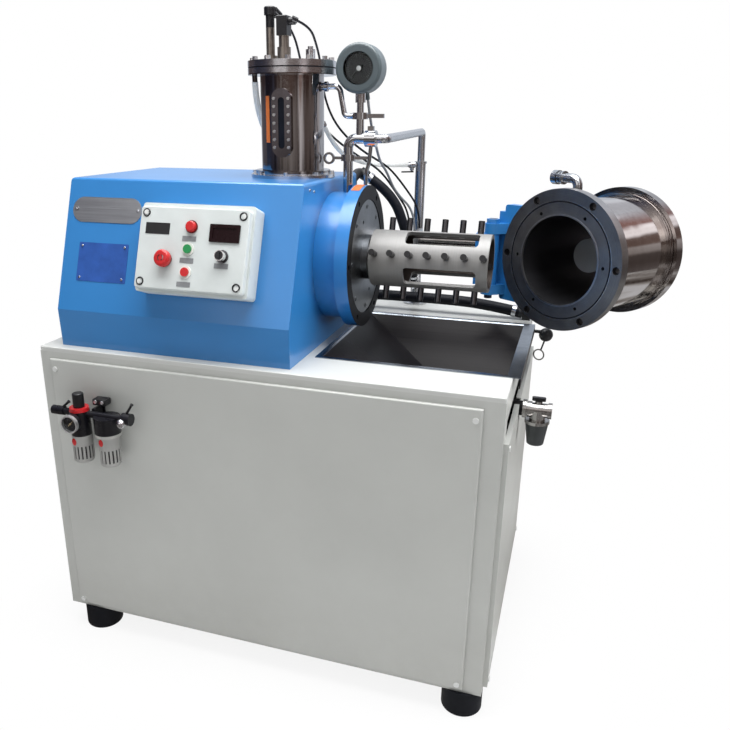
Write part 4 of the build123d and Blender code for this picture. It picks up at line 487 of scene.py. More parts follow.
# air unit: black body, red lock ring, bright gauge rim, pale collar over the right bowl
airLook = {"ringAt": (-0.4745, -0.4675, 0.0), "ring": 0.0255, "ringLow": 0.7269, "ringHigh": 0.7362,
           "rimAt": (-0.476, 0.0, 0.703), "rim": 0.0203, "rimFront": -0.506, "collarTop": 0.6765, "collarFrom": -0.435}
airFinish = moulded("airFinish", (0.005, 0.005, 0.008), 0.3)
tree = airFinish.node_tree
height = along(tree, "Z")
lockRing = both(tree, between(tree, height, airLook["ringLow"], airLook["ringHigh"]),
                under(tree, reach(tree, airLook["ringAt"], (1, 1, 0)), airLook["ring"]))
overlay(airFinish, lockRing, (0.55, 0.015, 0.02), 0.3, 0.0)
gaugeRim = both(tree, under(tree, along(tree, "Y"), airLook["rimFront"]),
                over(tree, reach(tree, airLook["rimAt"], (1, 0, 1)), airLook["rim"]))
overlay(airFinish, gaugeRim, (0.85, 0.85, 0.87), 0.3, 0.9)
paleCollar = both(tree, under(tree, height, airLook["collarTop"]), over(tree, along(tree, "X"), airLook["collarFrom"]))
overlay(airFinish, paleCollar, (0.4, 0.4, 0.38), 0.35, 0.0)

# drain: bright cock over a dark bowl
drainLook = {"bowlTop": 0.7038}
drainFinish = turnedSteel("drainFinish", (0.42, 0.41, 0.4), 0.22, lathe)
tree = drainFinish.node_tree
overlay(drainFinish, under(tree, along(tree, "Z"), drainLook["bowlTop"]), (0.035, 0.04, 0.042), 0.45, 0.0)

# parked bung and fittings: black, with a wire pull ring
fittingLook = {"ringTop": 0.7935, "ringFrom": 0.6}
fittingFinish = moulded("fittingFinish", (0.012, 0.013, 0.015), 0.42)
tree = fittingFinish.node_tree
pullRing = both(tree, under(tree, along(tree, "Z"), fittingLook["ringTop"]),
                over(tree, along(tree, "X"), fittingLook["ringFrom"]))
overlay(fittingFinish, pullRing, (0.3, 0.29, 0.27), 0.3, 1.0)

# which CAD nodes wear each finish
finishes = {
    cabinetPaint: ["cabinet_frame", "cover_panels"],
    deckPaintLitTop: ["top_plate"],
    bluePaint: ["drive_cover"],
    bracketPaint: ["hinge_bracket"],
    housingPaint: ["bearing_housing"],
    slideFinish: ["hinge_slide"],
    gaugeFinish: ["gauge_case"],
    airFinish: ["air_unit"],
    whitePlastic: ["control_box", "control_lid"],
    knobFinish: ["speed_knob"],
    needleFinish: ["gauge_needle"],
    bezelFinish: ["button_bezels"],
    blackPlastic: ["valve_lever", "air_bowls", "regulator_knob", "drain_handle"],
    meterFinish: ["meter_display"],
    probeFinish: ["probes"],
    fittingFinish: ["hose_fittings"],
    blackRubber: ["rubber_feet", "v_belts", "mouth_ring_seal", "tank_gasket", "return_hose", "lower_hose",
                  "probe_cable_left", "probe_cable_right"],
    redPlastic: ["signal_lamp", "stop_button", "estop_head"],
    greenPlastic: ["start_button"],
    cableGrey: ["gauge_cable"],
    stainless: ["shaft_bearings", "main_shaft", "guide_tubes", "stand_pipe"],
    boltSteel: ["tank_bolts"],
    screwFinish: ["panel_screws"],
    pipeSteel: ["seal_pipework"],
    drumSteel: ["rotor_drum"],
    pinSteel: ["rotor_pins"],
    linerSteel: ["chamber_liner"],
    screenSteel: ["separator_screen"],
    polished: ["end_cover"],
    jacketSteel: ["cooling_jacket"],
    tankSteel: ["tank_body", "tank_cover"],
    chamberSteel: ["chamber_body"],
    coverSteel: ["seal_cover"],
    castIron: ["shaft_pulley", "motor_rotor", "motor_body"],
    traySteel: ["drip_tray"],
    drainFinish: ["drain_pipework"],
    plateMetal: ["plates"],
    clearGlass: ["glass_panes"],
    clearPlastic: ["clear_hose_left", "clear_hose_right"],
}
for material, names in finishes.items():
    for name in names:
        mesh = nodes[name].data
        mesh.materials.clear()
        mesh.materials.append(material)
print("finishes given to", sum(len(names) for names in finishes.values()), "nodes")


# hoses and cables: smooth curves through points in metres, from the exit to the far end
hoses = {
    "returnHose": {
        "node": "return_hose", "finish": blackRubber, "slot": "black_rubber",
        "across": 0.029, "length": 0.394, "firm": "stiff",
        "points": [(0.086, 0.2475, 1.277), (0.165, 0.2475, 1.232), (0.212, 0.2475, 1.117), (0.225, 0.3, 1.01),
                   (0.218, 0.348, 0.962)]},
    "lowerHose": {
        "node": "lower_hose", "finish": blackRubber, "slot": "black_rubber",
        "across": 0.032, "length": 0.457, "firm": "stiff",
        "points": [(0.1, 0.2875, 0.912), (0.345, 0.2875, 0.914), (0.476, 0.2875, 0.904), (0.556, 0.2875, 0.89)]},
    "clearHoseLeft": {
        "node": "clear_hose_left", "finish": clearPlastic, "slot": "clear_plastic",
        "across": 0.016, "length": 0.2585, "firm": "medium",
        "points": [(-0.131, -0.064, 1.528), (-0.134, -0.052, 1.462), (-0.124, 0.012, 1.38), (-0.114, 0.064, 1.308)]},
    "clearHoseRight": {
        "node": "clear_hose_right", "finish": clearPlastic, "slot": "clear_plastic",
        "across": 0.012, "length": 0.3997, "firm": "medium",
        "points": [(0.02, 0.046, 1.42), (0.038, 0.088, 1.358), (0.066, 0.19, 1.324), (0.10067, 0.30502, 1.304),
                   (0.18215, 0.36299, 1.304)]},
    "probeCableLeft": {
        "node": "probe_cable_left", "finish": blackRubber, "slot": "black_rubber",
        "across": 0.006, "length": 0.8053, "firm": "medium",
        "points": [(-0.075, -0.022, 1.686), (-0.062, 0.028, 1.66), (-0.058, 0.078, 1.59), (-0.05, 0.094, 1.508),
                   (-0.02, 0.1, 1.436), (0.024, 0.112, 1.388), (0.072, 0.136, 1.35), (0.102, 0.208, 1.318),
                   (0.126, 0.274, 1.286), (0.16, 0.312, 1.228), (0.202, 0.336, 1.16), (0.202, 0.336, 1.102)]},
    "probeCableRight": {
        "node": "probe_cable_right", "finish": blackRubber, "slot": "black_rubber",
        "across": 0.006, "length": 0.8204, "firm": "medium",
        "points": [(-0.014, -0.062, 1.667), (0.012, -0.04, 1.655), (0.008, 0.02, 1.618), (-0.002, 0.08, 1.58),
                   (0.0, 0.1, 1.5), (0.026, 0.108, 1.432), (0.066, 0.128, 1.382), (0.104, 0.166, 1.346),
                   (0.124, 0.236, 1.322), (0.146, 0.294, 1.296), (0.186, 0.322, 1.242), (0.234, 0.336, 1.172),
                   (0.234, 0.336, 1.102)]},
    "gaugeCable": {
        "node": "gauge_cable", "finish": cableGrey, "slot": "cable_grey",
        "across": 0.007, "length": 0.578, "firm": "medium",
        "points": [(0.163, -0.034, 1.484), (0.168, -0.022, 1.428), (0.162, 0.056, 1.372), (0.154, 0.14, 1.322),
                   (0.15, 0.226, 1.296), (0.164, 0.286, 1.23), (0.218, 0.336, 1.168), (0.218, 0.336, 1.102)]},
}


def layHose(name, facts):
    curve = bpy.data.curves.new(name, "CURVE")
    curve.dimensions = "3D"
    curve.resolution_u = 10
    curve.bevel_depth = facts["across"] / 2
    curve.bevel_resolution = 5
    curve.use_fill_caps = True
    spline = curve.splines.new("NURBS")
    spline.points.add(len(facts["points"]) - 1)
    for knot, point in zip(spline.points, facts["points"]):
        knot.co = (*point, 1.0)
    spline.order_u = 3
    spline.use_endpoint_u = True
    hose = bpy.data.objects.new(name, curve)
    bpy.context.collection.objects.link(hose)
    curve.materials.append(facts["finish"])
    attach(hose, "machine")
    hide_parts(facts["node"])


for name, facts in hoses.items():
    layHose(name, facts)
print("hoses and cables laid:", len(hoses))


# sloped front of the drive cover: its top edge, the way up it and the way off it
faceOrigin = Vector((0, -0.2705, 1.294))
faceUp = Vector((0, 0.33744, 0.94135))
faceOut = Vector((0, -0.94135, 0.33744))


def onFace(x, up, out):
    # a point on the sloped front of the drive cover, in metres along, up and off it
    return faceOrigin + Vector((x, 0, 0)) + faceUp * up + faceOut * out


def facing(normal):
    return Vector(normal).to_track_quat("Z", "Y").to_euler()


def settle(name, body, finish):
    # names the active piece, freezes its place into its mesh and hands it to a body
    piece = bpy.context.object
    if piece.mode == "EDIT":
        bpy.ops.object.mode_set(mode="OBJECT")
    piece.name = name
    bpy.ops.object.transform_apply(location=True, rotation=True, scale=True)
    if not piece.data.materials:
        piece.data.materials.append(finish)
    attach(piece, body)
    bpy.ops.object.select_all(action="DESELECT")
    return piece


def modify(kind, **settings):
    piece = bpy.context.object
    modifier = piece.modifiers.new(kind.title(), kind)
    for name, value in settings.items():
        setattr(modifier, name, value)
    bpy.ops.object.modifier_apply(modifier=modifier.name)


def pick(test, kind="FACE"):
    # selects by a test on each face centre (or vertex), in the piece's own space
    piece = bpy.context.object
    if piece.mode != "EDIT":
        bpy.ops.object.mode_set(mode="EDIT")
    bpy.ops.mesh.select_mode(type=kind)
    bpy.ops.mesh.select_all(action="DESELECT")
    shape = bmesh.from_edit_mesh(piece.data)
    for item in (shape.faces if kind == "FACE" else shape.verts):
        item.select_set(bool(test(item.calc_center_median() if kind == "FACE" else item.co, item)))
    shape.select_flush_mode()
    bmesh.update_edit_mesh(piece.data)


def joinAll(pieces):
    bpy.ops.object.select_all(action="DESELECT")
    for piece in pieces:
        piece.select_set(True)
    bpy.context.view_layer.objects.active = pieces[0]
    bpy.ops.object.join()


def isTop(centre, face):
    return face.normal.z > 0.9


def domeHead(spot, normal, radius, height):
    # a round head with a soft edge: screw, rivet or stud
    bpy.ops.mesh.primitive_cylinder_add(vertices=24, radius=radius, depth=height, rotation=facing(normal),
                                        location=Vector(spot) + Vector(normal).normalized() * height / 2)
    pick(isTop)
    bpy.ops.mesh.bevel(offset=min(radius, height) * 0.6, segments=3, affect="EDGES")
    bpy.ops.object.mode_set(mode="OBJECT")
    return bpy.context.object


def squash(amounts):
    # scales the active piece about its own centre
    bpy.context.object.scale = amounts
    bpy.ops.object.transform_apply(location=False, rotation=False, scale=True)


# rivets of the name plate and the data plate, small screws in the cover's right face
rivets = {"radius": 0.0032, "height": 0.0016, "off": 0.0022,
          "spots": [(-0.5425, -0.082), (-0.3595, -0.082), (-0.512, -0.176), (-0.386, -0.176),
                    (-0.512, -0.258), (-0.386, -0.258)],
          "screwRadius": 0.004, "screwHeight": 0.002, "screws": [(0.0788, -0.235, 1.276), (0.0788, -0.205, 1.27)]}
heads = []
for x, up in rivets["spots"]:
    heads.append(domeHead(onFace(x, up, rivets["off"]), faceOut, rivets["radius"], rivets["height"]))
for spot in rivets["screws"]:
    heads.append(domeHead(spot, (1, 0, 0), rivets["screwRadius"], rivets["screwHeight"]))
joinAll(heads)
settle("rivets", "machine", stainless)

# lid screws: a dark moulded ring round each sunk head
lidScrews = {"ring": 0.0085, "wire": 0.0019, "off": 0.0683,
             "spots": [(-0.291, -0.097), (-0.036, -0.097), (-0.291, -0.263), (-0.036, -0.263)]}
rings = []
for x, up in lidScrews["spots"]:
    bpy.ops.mesh.primitive_torus_add(major_radius=lidScrews["ring"], minor_radius=lidScrews["wire"],
                                     major_segments=32, minor_segments=8,
                                     location=onFace(x, up, lidScrews["off"]), rotation=facing(faceOut))
    rings.append(bpy.context.object)
joinAll(rings)
bpy.ops.object.shade_smooth()
settle("lidScrewRings", "machine", blackPlastic)

# orange strip up the side of the tank
strip = {"radius": 0.0822, "centre": (-0.033, -0.052), "thick": 0.0006,
         "low": 1.381, "high": 1.492, "from": -0.078, "to": -0.066}
orangePaper = moulded("orangePaper", (0.72, 0.17, 0.03), 0.5)
bpy.ops.mesh.primitive_cylinder_add(vertices=192, radius=strip["radius"], depth=strip["high"] - strip["low"],
                                    end_fill_type="NOTHING",
                                    location=(*strip["centre"], (strip["low"] + strip["high"]) / 2))
left, right = strip["from"] - strip["centre"][0], strip["to"] - strip["centre"][0]
pick(lambda centre, face: not (left < centre.x < right and centre.y < 0))
bpy.ops.mesh.delete(type="FACE")
bpy.ops.object.mode_set(mode="OBJECT")
modify("SOLIDIFY", thickness=strip["thick"], offset=-1.0)
settle("tankStrip", "machine", orangePaper)
print("labels and rivets made")

# guards of the two air bowls: slotted cups with a drain nipple, each at its x, foot and top
bowls = {"radius": 0.0268, "y": -0.4675, "cups": [(-0.4745, 0.585, 0.661), (-0.393, 0.584, 0.669)],
         "slots": 16, "slotShare": 0.4, "slotDepth": 0.0018, "slotLow": 0.012, "slotHigh": 0.048,
         "footEdge": 0.007, "slotEdge": 0.0004, "nipple": 0.006, "nippleLength": 0.008, "nippleIn": 0.0005}
guardPlastic = moulded("guardPlastic", (0.33, 0.33, 0.32), 0.35)
guardDark = moulded("guardDark", (0.02, 0.02, 0.022), 0.4)
cups = []
for x, low, high in bowls["cups"]:
    bpy.ops.mesh.primitive_cylinder_add(vertices=bowls["slots"] * 5, radius=bowls["radius"], depth=high - low,
                                        location=(x, bowls["y"], (low + high) / 2))
    cup = bpy.context.object
    cup.data.materials.append(guardPlastic)
    cup.data.materials.append(guardDark)
    pick(lambda centre, face: True)
    for cut in (low + bowls["slotLow"], low + bowls["slotHigh"]):
        bpy.ops.mesh.select_all(action="SELECT")
        bpy.ops.mesh.bisect(plane_co=(x, bowls["y"], cut), plane_no=(0, 0, 1))
    slotMiddle = low + (bowls["slotLow"] + bowls["slotHigh"]) / 2 - (low + high) / 2
    slotHalf = (bowls["slotHigh"] - bowls["slotLow"]) / 2

    def isSlot(centre, face):
        turn = math.atan2(centre.y, centre.x) / (2 * math.pi) * bowls["slots"]
        return abs(centre.z - slotMiddle) < slotHalf and abs(face.normal.z) < 0.1 and turn % 1.0 < bowls["slotShare"]

    pick(isSlot)
    bpy.ops.mesh.extrude_region_shrink_fatten(TRANSFORM_OT_shrink_fatten={"value": -bowls["slotDepth"]})
    cup.active_material_index = 1
    bpy.ops.object.material_slot_assign()
    pick(lambda co, vertex: co.z < -(high - low) / 2 + 0.0001, "VERT")
    bpy.ops.mesh.bevel(offset=bowls["footEdge"], segments=4, affect="EDGES")
    bpy.ops.object.mode_set(mode="OBJECT")
    cups.append(cup)
    cups.append(domeHead((x, bowls["y"], low + bowls["nippleIn"]), (0, 0, -1), bowls["nipple"], bowls["nippleLength"]))
    bpy.context.object.data.materials.append(guardDark)
joinAll(cups)
modify("BEVEL", width=bowls["slotEdge"], segments=1, limit_method="ANGLE")
guards = settle("bowlGuards", "machine", guardPlastic)
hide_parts("air_bowls")

# red oval mark on the front of each guard
ovals = {"radius": 0.009, "squash": (0.85, 0.22, 1.15), "left": 0.0065, "front": 0.0258, "down": 0.015}
marks = []
for x, low, high in bowls["cups"]:
    spot = (x - ovals["left"], bowls["y"] - ovals["front"], high - ovals["down"])
    bpy.ops.mesh.primitive_uv_sphere_add(segments=20, ring_count=10, radius=ovals["radius"], location=spot)
    squash(ovals["squash"])
    bpy.ops.object.shade_smooth()
    marks.append(bpy.context.object)
joinAll(marks)
settle("bowlMarks", "machine", redPlastic)
print("air bowls made")

# worm clamps on the two thick hoses: a band at its place, direction and radius, and its screw beside it
clamps = {"width": 0.012, "thick": 0.0012, "screw": 0.0035, "screwLength": 0.014, "screwOff": 0.003, "edge": 0.0008,
          "bands": [((0.098, 0.2475, 1.2702), (0.869, 0, -0.495), 0.0152),
                    ((0.2195, 0.3395, 0.972), (-0.15, 0.7, -0.7), 0.0152),
                    ((0.115, 0.2875, 0.9121), (1, 0, 0.008), 0.0167),
                    ((0.541, 0.2875, 0.8927), (0.985, 0, -0.172), 0.0167)]}
bandParts = []
for spot, run, radius in clamps["bands"]:
    bpy.ops.mesh.primitive_cylinder_add(vertices=40, radius=radius, depth=clamps["width"], end_fill_type="NOTHING",
                                        location=spot, rotation=facing(run))
    modify("SOLIDIFY", thickness=clamps["thick"], offset=1.0)
    bandParts.append(bpy.context.object)
    side = Vector(run).cross((0, 0, 1)).normalized()
    bpy.ops.mesh.primitive_cylinder_add(vertices=16, radius=clamps["screw"], depth=clamps["screwLength"],
                                        location=Vector(spot) - side * (radius + clamps["screwOff"]),
                                        rotation=facing(Vector(run).cross(side)))
    modify("BEVEL", width=clamps["edge"], segments=2)
    bandParts.append(bpy.context.object)
joinAll(bandParts)
settle("hoseClamps", "machine", stainless)
print("hose clamps made")

# air unit: clamp block with a sunk top, and two levers with a wider tip
airClamp = {"block": (0.04, 0.028, 0.018), "at": (-0.424, -0.4395, 0.7475), "rim": 0.005, "sunk": 0.004, "edge": 0.0035,
            "levers": [((-0.527, -0.4675, 0.7265), (0.75, 0, 0.66), 0.026),
                       ((-0.334, -0.4675, 0.7325), (0.55, 0, 0.83), 0.03)],
            "lever": 0.0032, "tip": 0.0035, "tipScale": (1.5, 1.5, 1.5), "leverEdge": 0.0008}
bpy.ops.mesh.primitive_cube_add(size=1, location=airClamp["at"])
squash(airClamp["block"])
pick(isTop)
bpy.ops.mesh.inset(thickness=airClamp["rim"], depth=-airClamp["sunk"])
bpy.ops.object.mode_set(mode="OBJECT")
modify("BEVEL", width=airClamp["edge"], segments=3, limit_method="ANGLE")
blockParts = [bpy.context.object]
for start, run, length in airClamp["levers"]:
    run = Vector(run)
    middle = Vector(start) + run.normalized() * length / 2
    bpy.ops.mesh.primitive_cylinder_add(vertices=20, radius=airClamp["lever"], depth=length, location=middle,
                                        rotation=facing(run))
    pick(isTop)
    bpy.ops.mesh.extrude_region_shrink_fatten(TRANSFORM_OT_shrink_fatten={"value": airClamp["tip"]})
    bpy.ops.transform.resize(value=airClamp["tipScale"], center_override=middle + run.normalized() * length / 2)
    bpy.ops.object.mode_set(mode="OBJECT")
    modify("BEVEL", width=airClamp["leverEdge"], segments=2, limit_method="ANGLE")
    blockParts.append(bpy.context.object)
joinAll(blockParts)
settle("airClamp", "machine", blackPlastic)

# the block's two screws and a bright round nut beside the right bowl
airNuts = {"screws": [(-0.4335, -0.4532, 0.7485), (-0.4135, -0.4532, 0.7485)], "screw": 0.0055, "screwHeight": 0.003,
           "nutAt": (-0.342, -0.4815, 0.711), "nut": 0.0128}
nuts = [domeHead(spot, (0, -1, 0), airNuts["screw"], airNuts["screwHeight"]) for spot in airNuts["screws"]]
bpy.ops.mesh.primitive_uv_sphere_add(segments=32, ring_count=16, radius=airNuts["nut"], location=airNuts["nutAt"])
bpy.ops.object.shade_smooth()
nuts.append(bpy.context.object)
joinAll(nuts)
brightNickel = turnedSteel("brightNickel", (0.75, 0.75, 0.77), 0.24, lathe)
settle("airNuts", "machine", brightNickel)

# large gauge: a thin dial with a printed ring of plain ticks, every third one longer
dial = {"radius": 0.0353, "face": -0.0674, "thick": 0.0005, "edge": 0.0001, "ticks": 28, "sweep": 270.0,
        "inner": 0.0275, "outer": 0.031, "longer": 1.6, "longIn": 0.001, "off": 0.0003, "tick": (0.0003, 0.0006)}
dialBlack = moulded("dialBlack", (0.006, 0.006, 0.008), 0.6)
dialMark = moulded("dialMark", (0.2, 0.21, 0.22), 0.5)
bpy.ops.mesh.primitive_cylinder_add(vertices=96, radius=dial["radius"], depth=dial["thick"],
                                    location=(dialCentre[0], dial["face"], dialCentre[2]), rotation=(math.pi / 2, 0, 0))
modify("BEVEL", width=dial["edge"], segments=1, limit_method="ANGLE")
settle("gaugeDial", "machine", dialBlack)
ticks = []
for step in range(dial["ticks"]):
    isLong = step % 3 == 0
    turn = math.radians(90 + dial["sweep"] / 2 - dial["sweep"] * step / (dial["ticks"] - 1))
    fromCentre = (dial["inner"] + dial["outer"]) / 2 - (dial["longIn"] if isLong else 0)
    spot = (dialCentre[0] + math.cos(turn) * fromCentre, dial["face"] - dial["off"],
            dialCentre[2] + math.sin(turn) * fromCentre)
    bpy.ops.mesh.primitive_cube_add(size=1, location=spot, rotation=(0, -turn, 0))
    length = (dial["outer"] - dial["inner"]) * (dial["longer"] if isLong else 1.0)
    bpy.context.object.scale = (length, *dial["tick"])
    ticks.append(bpy.context.object)
joinAll(ticks)
settle("gaugeTicks", "machine", dialMark)

# small gauge of the air unit: a tan pointer on a round hub
pointer = {"hubAt": (-0.476, -0.5085, 0.703), "hub": 0.0022, "hubThick": 0.0012,
           "at": (-0.473, -0.5085, 0.706), "run": (1, 0, 1), "wide": 0.0011, "tip": 0.0003, "length": 0.026}
tanPaint = moulded("tanPaint", (0.45, 0.33, 0.2), 0.4)
bpy.ops.mesh.primitive_cylinder_add(vertices=24, radius=pointer["hub"], depth=pointer["hubThick"],
                                    location=pointer["hubAt"], rotation=(math.pi / 2, 0, 0))
pointerParts = [bpy.context.object]
bpy.ops.mesh.primitive_cone_add(vertices=12, radius1=pointer["wide"], radius2=pointer["tip"], depth=pointer["length"],
                                location=pointer["at"], rotation=facing(pointer["run"]))
pointerParts.append(bpy.context.object)
joinAll(pointerParts)
settle("smallPointer", "machine", tanPaint)

# twist mark on the stop head: two bent bars, no lettering
twist = {"radius": 0.0068, "wire": 0.0011, "at": (-0.228, -0.207, 0.0919), "gap": 0.9}
bpy.ops.mesh.primitive_torus_add(major_radius=twist["radius"], minor_radius=twist["wire"], major_segments=48,
                                 minor_segments=8)
pick(lambda centre, face: abs(math.atan2(centre.y, abs(centre.x))) > math.pi / 2 - twist["gap"] / 2)
bpy.ops.mesh.delete(type="FACE")
bpy.ops.mesh.select_all(action="SELECT")
bpy.ops.mesh.region_to_loop()
bpy.ops.mesh.edge_face_add()
bpy.ops.object.mode_set(mode="OBJECT")
bpy.context.object.rotation_euler = facing(faceOut)
bpy.context.object.location = onFace(*twist["at"])
bpy.ops.object.shade_smooth_by_angle()
settle("twistMark", "estop", plateMetal)

# spacer ring between the jacket collar and the rear flange, along the chamber's axis
spacer = {"inner": 0.1505, "outer": 0.1562, "from": 0.2522, "to": 0.2638, "edge": 0.0012}
run = Vector((math.cos(math.radians(chamberTurn[2])), math.sin(math.radians(chamberTurn[2])), 0.0))
bpy.ops.mesh.primitive_cylinder_add(vertices=160, radius=spacer["outer"], depth=spacer["to"] - spacer["from"],
                                    end_fill_type="NOTHING", rotation=facing(run),
                                    location=Vector(mouthCentre) + run * (spacer["from"] + spacer["to"]) / 2)
modify("SOLIDIFY", thickness=spacer["outer"] - spacer["inner"], offset=-1.0)
modify("BEVEL", width=spacer["edge"], segments=2, limit_method="ANGLE")
bpy.ops.object.shade_smooth_by_angle()
settle("rearSpacer", "chamber", polished)

# orange tag wrapped over the top of the housing flange, between two angles from the front
tag = {"radius": 0.1851, "from": 0.144, "to": 0.166, "low": 72.0, "high": 92.0, "thick": 0.0004}
bpy.ops.mesh.primitive_cylinder_add(vertices=360, radius=tag["radius"], depth=tag["to"] - tag["from"],
                                    end_fill_type="NOTHING", rotation=(0, math.pi / 2, 0),
                                    location=((tag["from"] + tag["to"]) / 2, shaftCentre[1], shaftCentre[2]))
bpy.ops.object.transform_apply(location=False, rotation=True, scale=False)
pick(lambda centre, face: not tag["low"] < math.degrees(math.atan2(centre.z, -centre.y)) < tag["high"])
bpy.ops.mesh.delete(type="FACE")
bpy.ops.object.mode_set(mode="OBJECT")
modify("SOLIDIFY", thickness=tag["thick"], offset=-1.0)
settle("flangeTag", "machine", orangePaper)
print("air unit, dials, mark and tag made")


# floor: white to the camera, a shade less under the machine, and a mottled yard to polished metal
floorLook = {"radius": 9.0, "tone": 0.86, "nearWhite": 0.85, "nearSide": 0.6, "nearFront": 0.4, "fade": (-0.1, 0.3),
             "yard": [(0.38, (0.06, 0.048, 0.042)), (0.48, (0.2, 0.18, 0.17)), (0.55, (0.42, 0.41, 0.4)),
                      (0.62, (0.62, 0.63, 0.65))]}
bpy.ops.mesh.primitive_circle_add(vertices=96, radius=floorLook["radius"], fill_type="NGON", location=(0, 0, 0))
floor = bpy.context.object
floor.name = "studioFloor"
floorFinish, tree, shader = newMaterial("studioFloorFinish", (floorLook["tone"],) * 3, 0.9)
glow = tree.nodes.new("ShaderNodeEmission")
glow.inputs["Color"].default_value = (1, 1, 1, 1)
paths = tree.nodes.new("ShaderNodeLightPath")
seen = maths(tree, "MAXIMUM", paths.outputs["Is Camera Ray"], paths.outputs["Is Transmission Ray"])
beside = maths(tree, "SUBTRACT", maths(tree, "ABSOLUTE", along(tree, "X")), floorLook["nearSide"])
before = maths(tree, "SUBTRACT", maths(tree, "ABSOLUTE", along(tree, "Y")), floorLook["nearFront"])
far = spread(tree, maths(tree, "MAXIMUM", beside, before), *floorLook["fade"], floorLook["nearWhite"], 1.0)
seenMix = tree.nodes.new("ShaderNodeMixShader")
tree.links.new(maths(tree, "MULTIPLY", far, seen), seenMix.inputs["Fac"])
tree.links.new(shader.outputs["BSDF"], seenMix.inputs[1])
tree.links.new(glow.outputs["Emission"], seenMix.inputs[2])
yard = tree.nodes.new("ShaderNodeEmission")
tree.links.new(colours(tree, noise(tree, place(tree), 1.1, 3.0, 0.55), floorLook["yard"]), yard.inputs["Color"])
glossyMix = tree.nodes.new("ShaderNodeMixShader")
tree.links.new(paths.outputs["Is Glossy Ray"], glossyMix.inputs["Fac"])
tree.links.new(seenMix.outputs["Shader"], glossyMix.inputs[1])
tree.links.new(yard.outputs["Emission"], glossyMix.inputs[2])
tree.links.new(glossyMix.outputs["Shader"], tree.nodes["Material Output"].inputs["Surface"])
floor.data.materials.append(floorFinish)

# world: white to the camera, to metal and to glass, and a plain soft light to everything else
worldLook = {"light": 0.315, "white": 1.0}
world = bpy.data.worlds.new("studioWorld")
world.use_nodes = True
bpy.context.scene.world = world
tree = world.node_tree
back = tree.nodes["Background"]
back.inputs["Color"].default_value = (1, 1, 1, 1)
paths = tree.nodes.new("ShaderNodeLightPath")
clearOrGlossy = maths(tree, "MAXIMUM", paths.outputs["Is Glossy Ray"], paths.outputs["Is Transmission Ray"])
seen = maths(tree, "MAXIMUM", paths.outputs["Is Camera Ray"], clearOrGlossy)
tree.links.new(spread(tree, seen, 0.0, 1.0, worldLook["light"], worldLook["white"]), back.inputs["Strength"])

# lamps: place, aim and size in metres, power in watts, and whether metal mirrors them
lamps = {
    "topLamp": {"spot": (0.2, -0.35, 3.6), "aim": (0.2, 0, 0.9), "size": (3.0, 2.2), "watts": 172.0, "mirrored": True},
    "frontLamp": {"spot": (-0.6, -3.6, 2.6), "aim": (0, 0, 0.8), "size": (2.4, 1.6), "watts": 12.0, "mirrored": True},
    "sideLamp": {"spot": (3.7, 0.2, 1.5), "aim": (0.5, 0, 0.6), "size": (1.8, 1.8), "watts": 62.0, "mirrored": False},
}


def hangLamp(name, facts):
    bpy.ops.object.light_add(type="AREA", location=facts["spot"])
    lamp = bpy.context.object
    lamp.name = name
    lamp.data.shape = "RECTANGLE"
    lamp.data.size, lamp.data.size_y = facts["size"]
    lamp.data.energy = facts["watts"]
    lamp.rotation_euler = (Vector(facts["aim"]) - Vector(facts["spot"])).to_track_quat("-Z", "Y").to_euler()
    lamp.visible_glossy = facts["mirrored"]


for name, facts in lamps.items():
    hangLamp(name, facts)

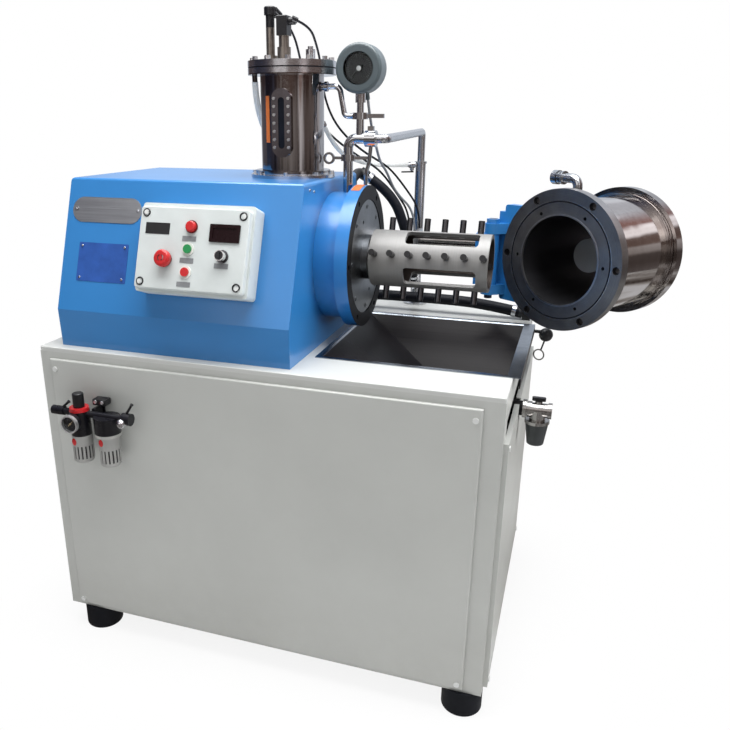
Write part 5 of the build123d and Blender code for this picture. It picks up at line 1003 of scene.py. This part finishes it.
# workshop walls that only polished metal sees, so that it has something to mirror:
# bands by height, times bays by bearing, with a plain pale side behind the machine
wallLook = {
    "reach": 4.2, "height": 7.0, "waver": 0.22,
    "behind": (2.5, 3.3), "behindShare": 0.85, "behindColour": (0.66, 0.72, 0.8),
    "bands": [(0.13, (0.13, 0.115, 0.11)), (0.16, (0.42, 0.4, 0.39)), (0.215, (0.5, 0.48, 0.47)),
              (0.235, (0.19, 0.135, 0.115)), (0.32, (0.19, 0.14, 0.125)), (0.35, (1.3, 1.28, 1.28)),
              (0.4, (1.25, 1.22, 1.22)), (0.43, (0.3, 0.17, 0.15)), (0.5, (0.26, 0.15, 0.135)),
              (0.53, (1.1, 1.14, 1.2)), (0.9, (0.95, 0.97, 1.0))],
    "bays": [(0.02, (0.1, 0.12, 0.2)), (0.13, (0.13, 0.13, 0.18)), (0.19, (0.5, 0.46, 0.44)), (0.3, (0.72, 0.68, 0.66)),
             (0.355, (0.36, 0.31, 0.3)), (0.38, (1.9, 1.9, 1.95)), (0.4, (1.7, 1.7, 1.75)), (0.42, (0.32, 0.26, 0.24)),
             (0.55, (0.46, 0.4, 0.38)), (0.6, (1.3, 1.3, 1.35)), (0.78, (1.2, 1.2, 1.25)), (0.92, (0.3, 0.3, 0.36))]}
bpy.ops.mesh.primitive_cylinder_add(vertices=96, radius=wallLook["reach"], depth=wallLook["height"],
                                    end_fill_type="NOTHING", location=(0, 0, wallLook["height"] / 2))
bpy.ops.object.transform_apply(location=True, rotation=False, scale=False)
walls = bpy.context.object
walls.name = "mirroredWalls"
wallFinish, tree, _ = newMaterial("mirroredWallsFinish", (0.1, 0.08, 0.07), 0.8)
glow = tree.nodes.new("ShaderNodeEmission")
wander = maths(tree, "SUBTRACT", noise(tree, place(tree, stretch=(1, 1, 4)), 1.2, 3.0), 0.5)
level = maths(tree, "ADD", along(tree, "Z"), wander)
bandColour = colours(tree, spread(tree, level, 0.0, wallLook["height"], 0.0, 1.0), wallLook["bands"])
waver = spread(tree, noise(tree, place(tree), 1.4, 3.0), 0.0, 1.0, -wallLook["waver"], wallLook["waver"])
bearing = maths(tree, "ADD", maths(tree, "ARCTAN2", along(tree, "Y"), along(tree, "X")), waver)
bayColour = colours(tree, spread(tree, bearing, -math.pi, math.pi, 0.0, 1.0), wallLook["bays"])
product = tree.nodes.new("ShaderNodeVectorMath")
product.operation = "MULTIPLY"
tree.links.new(bandColour, product.inputs[0])
tree.links.new(bayColour, product.inputs[1])
behind = spread(tree, along(tree, "Y"), *wallLook["behind"], 0.0, wallLook["behindShare"])
wallColour = mixColours(tree, behind, product.outputs["Vector"], wallLook["behindColour"])
tree.links.new(wallColour, glow.inputs["Color"])
tree.links.new(glow.outputs["Emission"], tree.nodes["Material Output"].inputs["Surface"])
walls.data.materials.append(wallFinish)
walls.visible_camera = walls.visible_diffuse = walls.visible_shadow = walls.visible_transmission = False
print("stage set")
